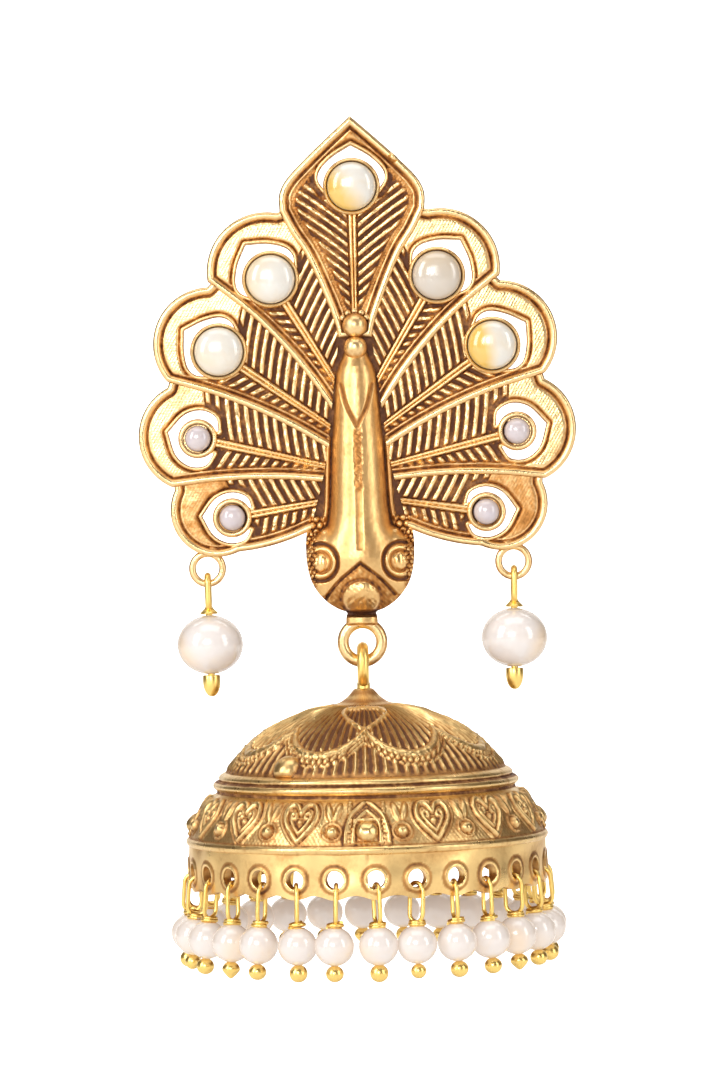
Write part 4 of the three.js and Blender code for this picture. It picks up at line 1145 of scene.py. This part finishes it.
dome_gold = gold_finish("pale_antique_gold", (0.12, 0.042, 0.012, 1), (0.50, 0.25, 0.085, 1),
                        (0.80, 0.555, 0.24, 1), 0.30, 0.45)


def round_dome(azimuth, radius, v):
    return at_stud(radius * np.sin(azimuth), v, ring_depth + radius * np.cos(azimuth))


def round_gap(angle, to):
    """How far round the dome an angle is from another, the short way."""
    return (angle - to + math.pi) % (2 * math.pi) - math.pi


def turned_skin(name, profile, inner, columns, spacing, relief):
    """A band of the dome: a profile turned round and pushed outwards by its relief, and its inside."""
    path = smooth_path(profile, spacing)
    along = np.concatenate([[0], np.cumsum(np.hypot(*np.diff(path, axis=0).T))])
    slope = np.gradient(path, axis=0)
    slope /= np.linalg.norm(slope, axis=1)[:, None]
    outward = np.stack([-slope[:, 1], slope[:, 0]], -1)
    azimuth = np.linspace(0, 2 * math.pi, columns, endpoint=False)
    angle, row = np.meshgrid(azimuth, np.arange(len(path)))
    rise, shade = relief(angle, path[row, 0], path[row, 1], along[row])
    radius = path[row, 0] + outward[row, 0] * rise
    height = path[row, 1] + outward[row, 1] * rise
    points = round_dome(angle.ravel(), radius.ravel(), height.ravel())
    inner_radius, inner_height = (np.repeat(values, columns) for values in zip(*inner))
    points = np.concatenate([points, round_dome(np.tile(azimuth, len(inner)), inner_radius, inner_height)])
    shades = np.concatenate([shade.ravel(), np.full(len(inner) * columns, 0.3)])
    rows = len(path) + len(inner)
    index = np.arange(rows * columns).reshape(rows, columns)
    below = np.roll(index, -1, 0)
    faces = np.stack([index, below, np.roll(below, -1, 1), np.roll(index, -1, 1)], -1).reshape(-1, 4)
    skin = make_piece(name, points, faces.tolist(), np.clip(shades, 0, 1), sharp=70)
    dress(skin, dome_gold, "dome", "jhumka_dome")


def ribs_and_swags(angle, radius, v, along):
    """Ribs down to the swags, grains under them, the crossed ends at the front and the casting's blob."""
    waves = np.random.default_rng(5).uniform(-1, 1, (14, 3)) * (18, 1, 3.14)
    rough = sum(np.sin(w[0] * angle * 9 + w[1] * v * 9 + w[2]) for w in waves) / 4
    turn = angle * dome_swags / (2 * math.pi)
    share = 2 * (turn - np.floor(turn)) - 1
    swag = swag_top - swag_drop * (1 - np.abs(share) ** 2.0)
    under = (swag - v) * 0.8
    rib = 2 * (0.5 + 0.5 * np.cos(dome_ribs * angle)) ** 1.5 - 1
    ribbed = (v < -6.4) & (under < -0.35)
    depth = rib_deep * blend(radius, 2.6, 6.0) + 0.03
    rise = np.where(ribbed, depth * rib, 0.0)
    shade = np.where(ribbed, 0.33 + 0.50 * rib, 0.62)

    edge = bead(np.abs(under), 0, 0.3, 0.34)
    rise = np.where(edge > 0, np.maximum(rise, edge), rise)
    shade = np.where(edge > 0, 0.38 + 0.5 * edge / 0.34, shade)
    below = under > 0.3
    grains = dots(angle * radius, under * 1.25 + 20, 0.66)
    belt = below & (under < 0.95)
    rise = np.where(belt, 0.05 + 0.32 * grains, rise)
    shade = np.where(belt, 0.18 + 0.75 * grains, shade)
    far = below & (under >= 0.95)
    rise = np.where(far, 0.05 + 0.15 * rib, rise)
    shade = np.where(far, 0.42 + 0.40 * rib, shade)

    from_front = np.abs(round_gap(angle, 0.0)) * radius
    front = (from_front < 3.2) & (v > -9.3) & (v < -6.3)
    end_line = smooth_path(loose_end, 0.1) * (1, 1.7)
    crossed = np.zeros_like(rise)
    near_end = gap_to(np.stack([from_front[front], v[front] * 1.7], -1), end_line)
    crossed[front] = bead(near_end, 0, 0.3, 0.32)
    rise = np.where(crossed > 0, np.maximum(rise, crossed), rise)
    shade = np.where(crossed > 0, 0.38 + 0.5 * crossed / 0.32, shade)

    lip = np.clip((-12.6 - v) / 0.4, 0, 1)
    rise = rise * (1 - lip)
    shade = shade * (1 - lip) + 0.3 * lip
    head = v > -6.3
    shade = np.where(head, 0.55 + 0.15 * np.cos(along * 5), shade)
    rise = rise * (1 + 0.12 * rough)
    shade = shade + 0.07 * rough
    flaw = np.hypot(round_gap(angle, blob_turn) * radius, (v - blob_up) * 1.25)
    blob = bead(flaw, 0, blob_radius, blob_high)
    rise = np.maximum(rise, blob)
    shade = np.where(flaw < blob_radius, 0.45 + 0.4 * blob, shade)
    shade = np.where((flaw > blob_radius) & (flaw < blob_radius + 0.2), 0.1, shade)
    return rise, shade


def heart_lines():
    outer = [(0, 1.15), (0.55, 1.95), (1.35, 2.15), (2.0, 1.45), (1.9, 0.35), (1.1, -0.9), (0, -2.2)]
    curl = [(0.1, -1.2), (0.9, -0.15), (1.3, 0.75), (1.05, 1.3), (0.6, 1.1), (0.62, 0.65), (0.9, 0.6)]
    return smooth_path(outer, 0.12) * (0.84, 0.9), smooth_path(curl, 0.12) * (0.8, 0.84)


def arch_lines():
    outer = smooth_path([(2.05, -2.2), (2.0, -0.6), (1.6, 0.8), (0.8, 1.7), (0, 2.35)], 0.12)
    inner = smooth_path([(1.35, -2.2), (1.3, -0.7), (0.95, 0.4), (0, 1.35)], 0.12)
    return outer, inner


def frieze(angle, radius, v, along):
    """The double ridge above, the panels with their hearts and arches, and the bosses between them."""
    waves = np.random.default_rng(8).uniform(-1, 1, (14, 3)) * (20, 1, 3.14)
    rough = sum(np.sin(w[0] * angle * 9 + w[1] * v * 4 + w[2]) for w in waves) / 4
    place = angle * frieze_panels / (2 * math.pi)
    panel = np.round(place)
    x = (place - panel) * 2 * math.pi * frieze_radius / frieze_panels
    y = (v - frieze_middle) * frieze_stretch
    side = np.abs(x)
    shape = x.shape
    band = blend(-v, 15.35, 15.7) * (1 - blend(-v, 19.45, 19.7))
    is_arch = panel % 4 == 0
    flat = np.stack([side, y], -1)

    def gap_in(panels, line):
        picked = (band > 0) & panels
        gap = np.full(shape, 9.0)
        gap[picked] = gap_to(flat[picked], line)
        return gap

    near_heart, near_curl = (gap_in(~is_arch, line) for line in heart_lines())
    near_arch, near_inner = (gap_in(is_arch, line) for line in arch_lines())
    fine_grain = dots(angle * frieze_radius, v * frieze_stretch, 0.42)
    rise = np.zeros(shape) + 0.04 * fine_grain
    nearest_line = np.minimum(np.minimum(near_heart, near_curl), np.minimum(near_arch, near_inner))
    shade = 0.60 + 0.16 * fine_grain - 0.58 * (1 - blend(nearest_line, 0.28, 0.58))

    def raised(gap, half_wide, high, bright=0.84):
        nonlocal rise, shade
        lifted = bead(gap, 0, half_wide, high)
        shade = np.where(lifted > rise, 0.3 + (bright - 0.3) * lifted / high, shade)
        rise = np.maximum(rise, lifted)

    only_arch, only_heart = 9 * ~is_arch, 9 * is_arch
    raised(near_heart, 0.26, 0.4)
    raised(np.abs(near_heart - 0.52) + 9 * (y < -2.4), 0.12, 0.16, 0.6)
    raised(near_curl, 0.18, 0.3)
    raised(near_arch, 0.2, 0.36)
    raised(near_inner, 0.17, 0.3)
    pillar_dots = dots(along, side, 0.5) * (near_arch < 1.4) * (side > 1.42) * (side < 1.95)
    raised(np.where(pillar_dots > 0, (1 - pillar_dots) * 0.2, 9), 0.2, 0.24, 0.7)
    square = np.maximum(side, np.abs(y + 0.9)) + only_arch
    raised(np.abs(square - 1.25), 0.14, 0.3, 0.7)
    raised(np.hypot(x, y + 0.9) + only_arch, 1.1, 0.75, 0.95)
    raised(np.hypot(x, y - 0.1) + only_heart, 0.3, 0.35, 0.8)
    between = np.hypot(side - panel_half, y + 0.95)
    shade = shade - 0.35 * (1 - blend(between, 1.0, 1.35))
    raised(between, 0.62, 0.6, 0.95)
    raised(np.abs(between - 0.92), 0.13, 0.2, 0.66)
    for lean in (1, -1):
        leaf_out = side - panel_half + 0.42 * lean + 0.25 * lean * (y - 1.1)
        raised(np.hypot(leaf_out / 0.42, (y - 1.1) / 1.1), 1.0, 0.36, 0.8)

    plain = 0.84 + 0.06 * rough
    ridge_groove = np.minimum(np.abs(v + 13.92), np.abs(v + 15.0))
    plain = np.where(ridge_groove < 0.16, 0.16, plain)
    plain = np.where(np.abs(v + 19.62) < 0.12, 0.2, plain)
    shade = shade * band + plain * (1 - band)
    return rise * band * (1 + 0.08 * rough), shade + 0.05 * rough


turned_skin("dome_ribbed_crown", dome_outer, dome_inner, ribbed_columns, ribbed_spacing, ribs_and_swags)
turned_skin("dome_frieze", ridge_outer, ridge_inner, frieze_columns, frieze_spacing, frieze)

# The skirt is the lowest band of the same brass casting, polished smooth, with a collared hole for
# each fringe drop and a softly scalloped edge. It is laid out flat here, as arc length against
# height, with the holes cut in it, and then rolled up.
skirt_top, skirt_low, skirt_radius, skirt_wall = -20.5, -25.0, 18.45, 0.9
skirt_step, skirt_rows = 0.16, 32
drops = 28
drop_phase = 2.4
hole_up, hole_radius, eyelet_radius = 2.0, 0.92, 1.27
scallop_rise, scallop_deep, scallop_reach = 0.22, 0.22, 0.9
collar_high = 0.13
skirt_gold = gold_finish("polished_antique_gold", (0.12, 0.042, 0.012, 1), (0.52, 0.27, 0.09, 1),
                         (0.90, 0.62, 0.26, 1), 0.2, 0.14)
skirt_turn = 2 * math.pi * skirt_radius
columns = int(round(skirt_turn / skirt_step))
columns += (-columns) % drops
arc_step = skirt_turn / columns
grid_s, grid_v = np.meshgrid(np.arange(columns) * arc_step, np.linspace(skirt_low, skirt_top, skirt_rows))
pitch = skirt_turn / drops
phase = math.radians(drop_phase) * skirt_radius
from_hole = (grid_s - phase + pitch / 2) % pitch - pitch / 2
up_hole = grid_v - (skirt_low + hole_up)
reach = np.hypot(from_hole, up_hole)
by_hole = (reach > 1e-6) & (np.abs(reach - hole_radius) < arc_step * 0.52)
scale = np.where(by_hole, hole_radius / np.maximum(reach, 1e-6), 1)
grid_s = grid_s + from_hole * (scale - 1)
grid_v = grid_v + up_hole * (scale - 1)
reach = np.where(scale != 1, hole_radius, reach)
held = reach > hole_radius - 1e-4
index = np.arange(skirt_rows * columns).reshape(skirt_rows, columns)
onward = np.roll(index, -1, 1)
quads = np.stack([index[:-1], onward[:-1], onward[1:], index[1:]], -1).reshape(-1, 4)
kept = held.ravel()[quads]
whole = quads[kept.sum(1) == 4]
three = [np.delete(quads[(kept.sum(1) == 3) & ~kept[:, k]], k, axis=1) for k in range(4)]
triangles = np.concatenate([whole[:, [0, 1, 2]], whole[:, [0, 2, 3]], *three])
azimuth = (grid_s / skirt_radius).ravel()
reach = reach.ravel()
scallop = scallop_deep * np.cos(drops * (azimuth - math.radians(drop_phase)) + math.pi)
lower = 1 - blend(grid_v.ravel(), skirt_low, skirt_low + scallop_reach)
height = grid_v.ravel() + lower * (scallop_rise + scallop)
collar = bead(reach, (hole_radius + eyelet_radius) / 2, 0.2, collar_high)
# These waves make the skirt gently wavy and also paint broad brighter and darker patches into its colour,
# painted reflections.
waves = np.random.default_rng(4).uniform(-1, 1, (16, 3)) * (3, 2, 3.14)
wave_and_sheen = sum(np.sin(w[0] * azimuth * 9 + w[1] * height + w[2]) for w in waves) / 5
dark_ring = bead(reach, eyelet_radius + 0.1, 0.24, 0.5)
outer_shade = np.clip(0.76 + 0.15 * wave_and_sheen + collar - dark_ring, 0, 1)
outside = round_dome(azimuth, skirt_radius + collar + 0.07 * wave_and_sheen, height)
inside = round_dome(azimuth, np.full(len(azimuth), skirt_radius - skirt_wall), height)
edges = open_edges(triangles, len(azimuth))
count = len(azimuth)
walls = np.stack([edges[:, 1], edges[:, 0], edges[:, 0] + count, edges[:, 1] + count], -1)
faces = triangles.tolist() + (triangles[:, ::-1] + count).tolist() + walls.tolist()
shades = np.concatenate([outer_shade, np.full(count, 0.35)])
skirt = make_piece("dome_skirt", np.concatenate([outside, inside]), faces, shades, sharp=50)
dress(skirt, skirt_gold, "dome", "jhumka_dome")

# Each fringe drop is a loop of bright plated brass wire through its hole in the skirt, wrapped under
# the edge, with a small pearl and a gold ball threaded on. They were strung by hand, so no two hang
# quite alike.
drop_loop_radius = 0.93
drop_loop_length = 3.9
drop_wire = 0.44
coil_wire = 0.4
coil_top, coil_rise = -3.28, 0.42
coil_radius, coil_taper = 0.76, 0.12
drop_cap = [(0.0001, -3.3), (0.72, -3.32), (0.8, -3.42), (0.6, -3.55), (0.0001, -3.6)]
drop_hang = (18.05, -24.4)
drop_lean = math.radians(5)
drop_pearl_v, drop_pearl_radius = -5.16, 2.0
drop_ball_v, drop_ball_radius = -7.84, 0.93
pointed_every, small_every = 5, 7
fringe_pearl = pearl_finish("pink_white_pearl", (0.47, 0.445, 0.44, 1), (0.56, 0.40, 0.23, 1),
                            (0.34, 0.26, 0.19, 1), 320.0, 0.2, 0.36)
strung_by = np.random.default_rng(21)


def drop_loop():
    """The loop, a little twisted and bent, as tube points and faces, and its twist."""
    loop = np.array(wire_eye(drop_loop_radius, drop_loop_length, 14))
    twist = strung_by.uniform(-0.5, 0.5)
    kink = 0.12 * np.sin(loop[:, 1] * 2) * strung_by.uniform(-1, 1)
    loop[:, 0], loop[:, 2] = loop[:, 2] * math.sin(twist) + kink, loop[:, 2] * math.cos(twist)
    return tube(loop, drop_wire / 2, 10), twist


def drop_coil(twist):
    turns = np.linspace(0, 2 * math.pi * strung_by.uniform(1.3, 2.0), 36) + strung_by.uniform(0, 6)
    fall = (turns - turns[0]) / (turns[-1] - turns[0])
    wide = coil_radius - coil_taper * fall
    level = coil_top + coil_rise * fall + 0.08 * np.cos(turns + twist)
    coil = np.stack([wide * np.cos(turns), level, wide * np.sin(turns)], -1)
    return tube(coil, coil_wire / 2, 8, closed=False)


def drop_ball(number):
    """The gold ball under the pearl. Some are drawn out to a point and some are small."""
    size = drop_ball_radius * strung_by.uniform(0.95, 1.0)
    points, faces = ball_net(size, 16, 24, strung_by.uniform(0.9, 0.98))
    if number % pointed_every == pointed_every - 1:
        points[:, :2] *= np.where(points[:, 2] < 0, 1 + 0.55 * points[:, 2] / size, 1)[:, None]
    if number % small_every == 1:
        points *= (0.86, 0.86, 0.9)
        points[:, 2] += 0.06
    return upright(points) + (strung_by.uniform(-0.14, 0.14), drop_ball_v, 0), flipped(faces)


for number in range(drops):
    (loop_points, loop_faces), twist = drop_loop()
    coil_points, coil_faces = drop_coil(twist)
    ball_points, ball_faces = drop_ball(number)
    cap_points, cap_faces = lathe(drop_cap, 20)
    metal_points, metal_faces, shades = join_nets(
        (loop_points, loop_faces, 0.84), (coil_points, coil_faces, 0.78),
        (ball_points, ball_faces, 0.88), (upright(cap_points), flipped(cap_faces), 0.8))
    pearl_radius = drop_pearl_radius * strung_by.uniform(0.98, 1.015)
    pearl_points, pearl_faces = ball_net(pearl_radius, 26, 40, strung_by.uniform(0.95, 0.99))
    pearl_points = upright(pearl_points) + (strung_by.uniform(-0.05, 0.05), drop_pearl_v, 0)
    # Each pearl is warmer towards its bottom and one side: a painted reflection of the gold round it.
    reflecting_side = pearl_points[:, 0] * strung_by.uniform(-1, 1) / 2
    reflected_gold = 0.55 * blend(reflecting_side - (pearl_points[:, 1] - drop_pearl_v) / 4, 0.1, 0.9)
    sway = math.radians(strung_by.uniform(-2.2, 2.2))
    azimuth = math.radians(drop_phase + number * 360 / drops)

    def strung(points):
        """Sways a drop, leans it outwards and sets it at its hole in the skirt."""
        x, y, z = points.T
        x, y = x * math.cos(sway) - y * math.sin(sway), x * math.sin(sway) + y * math.cos(sway)
        y, z = (y * math.cos(drop_lean) + z * math.sin(drop_lean),
                z * math.cos(drop_lean) - y * math.sin(drop_lean))
        z = z + drop_hang[0]
        return at_stud(z * math.sin(azimuth) + x * math.cos(azimuth), y + drop_hang[1],
                       ring_depth + z * math.cos(azimuth) - x * math.sin(azimuth))

    title = f"{number + 1:02d}"
    metal = make_piece(f"fringe_wire_{title}", strung(metal_points), metal_faces, shades, sharp=50)
    dress(metal, wire_gold, "dome", f"fringe_drop_{title}")
    pearl = make_piece(f"fringe_pearl_{title}", strung(pearl_points), flipped(pearl_faces), reflected_gold)
    dress(pearl, fringe_pearl, "dome", f"fringe_drop_{title}")
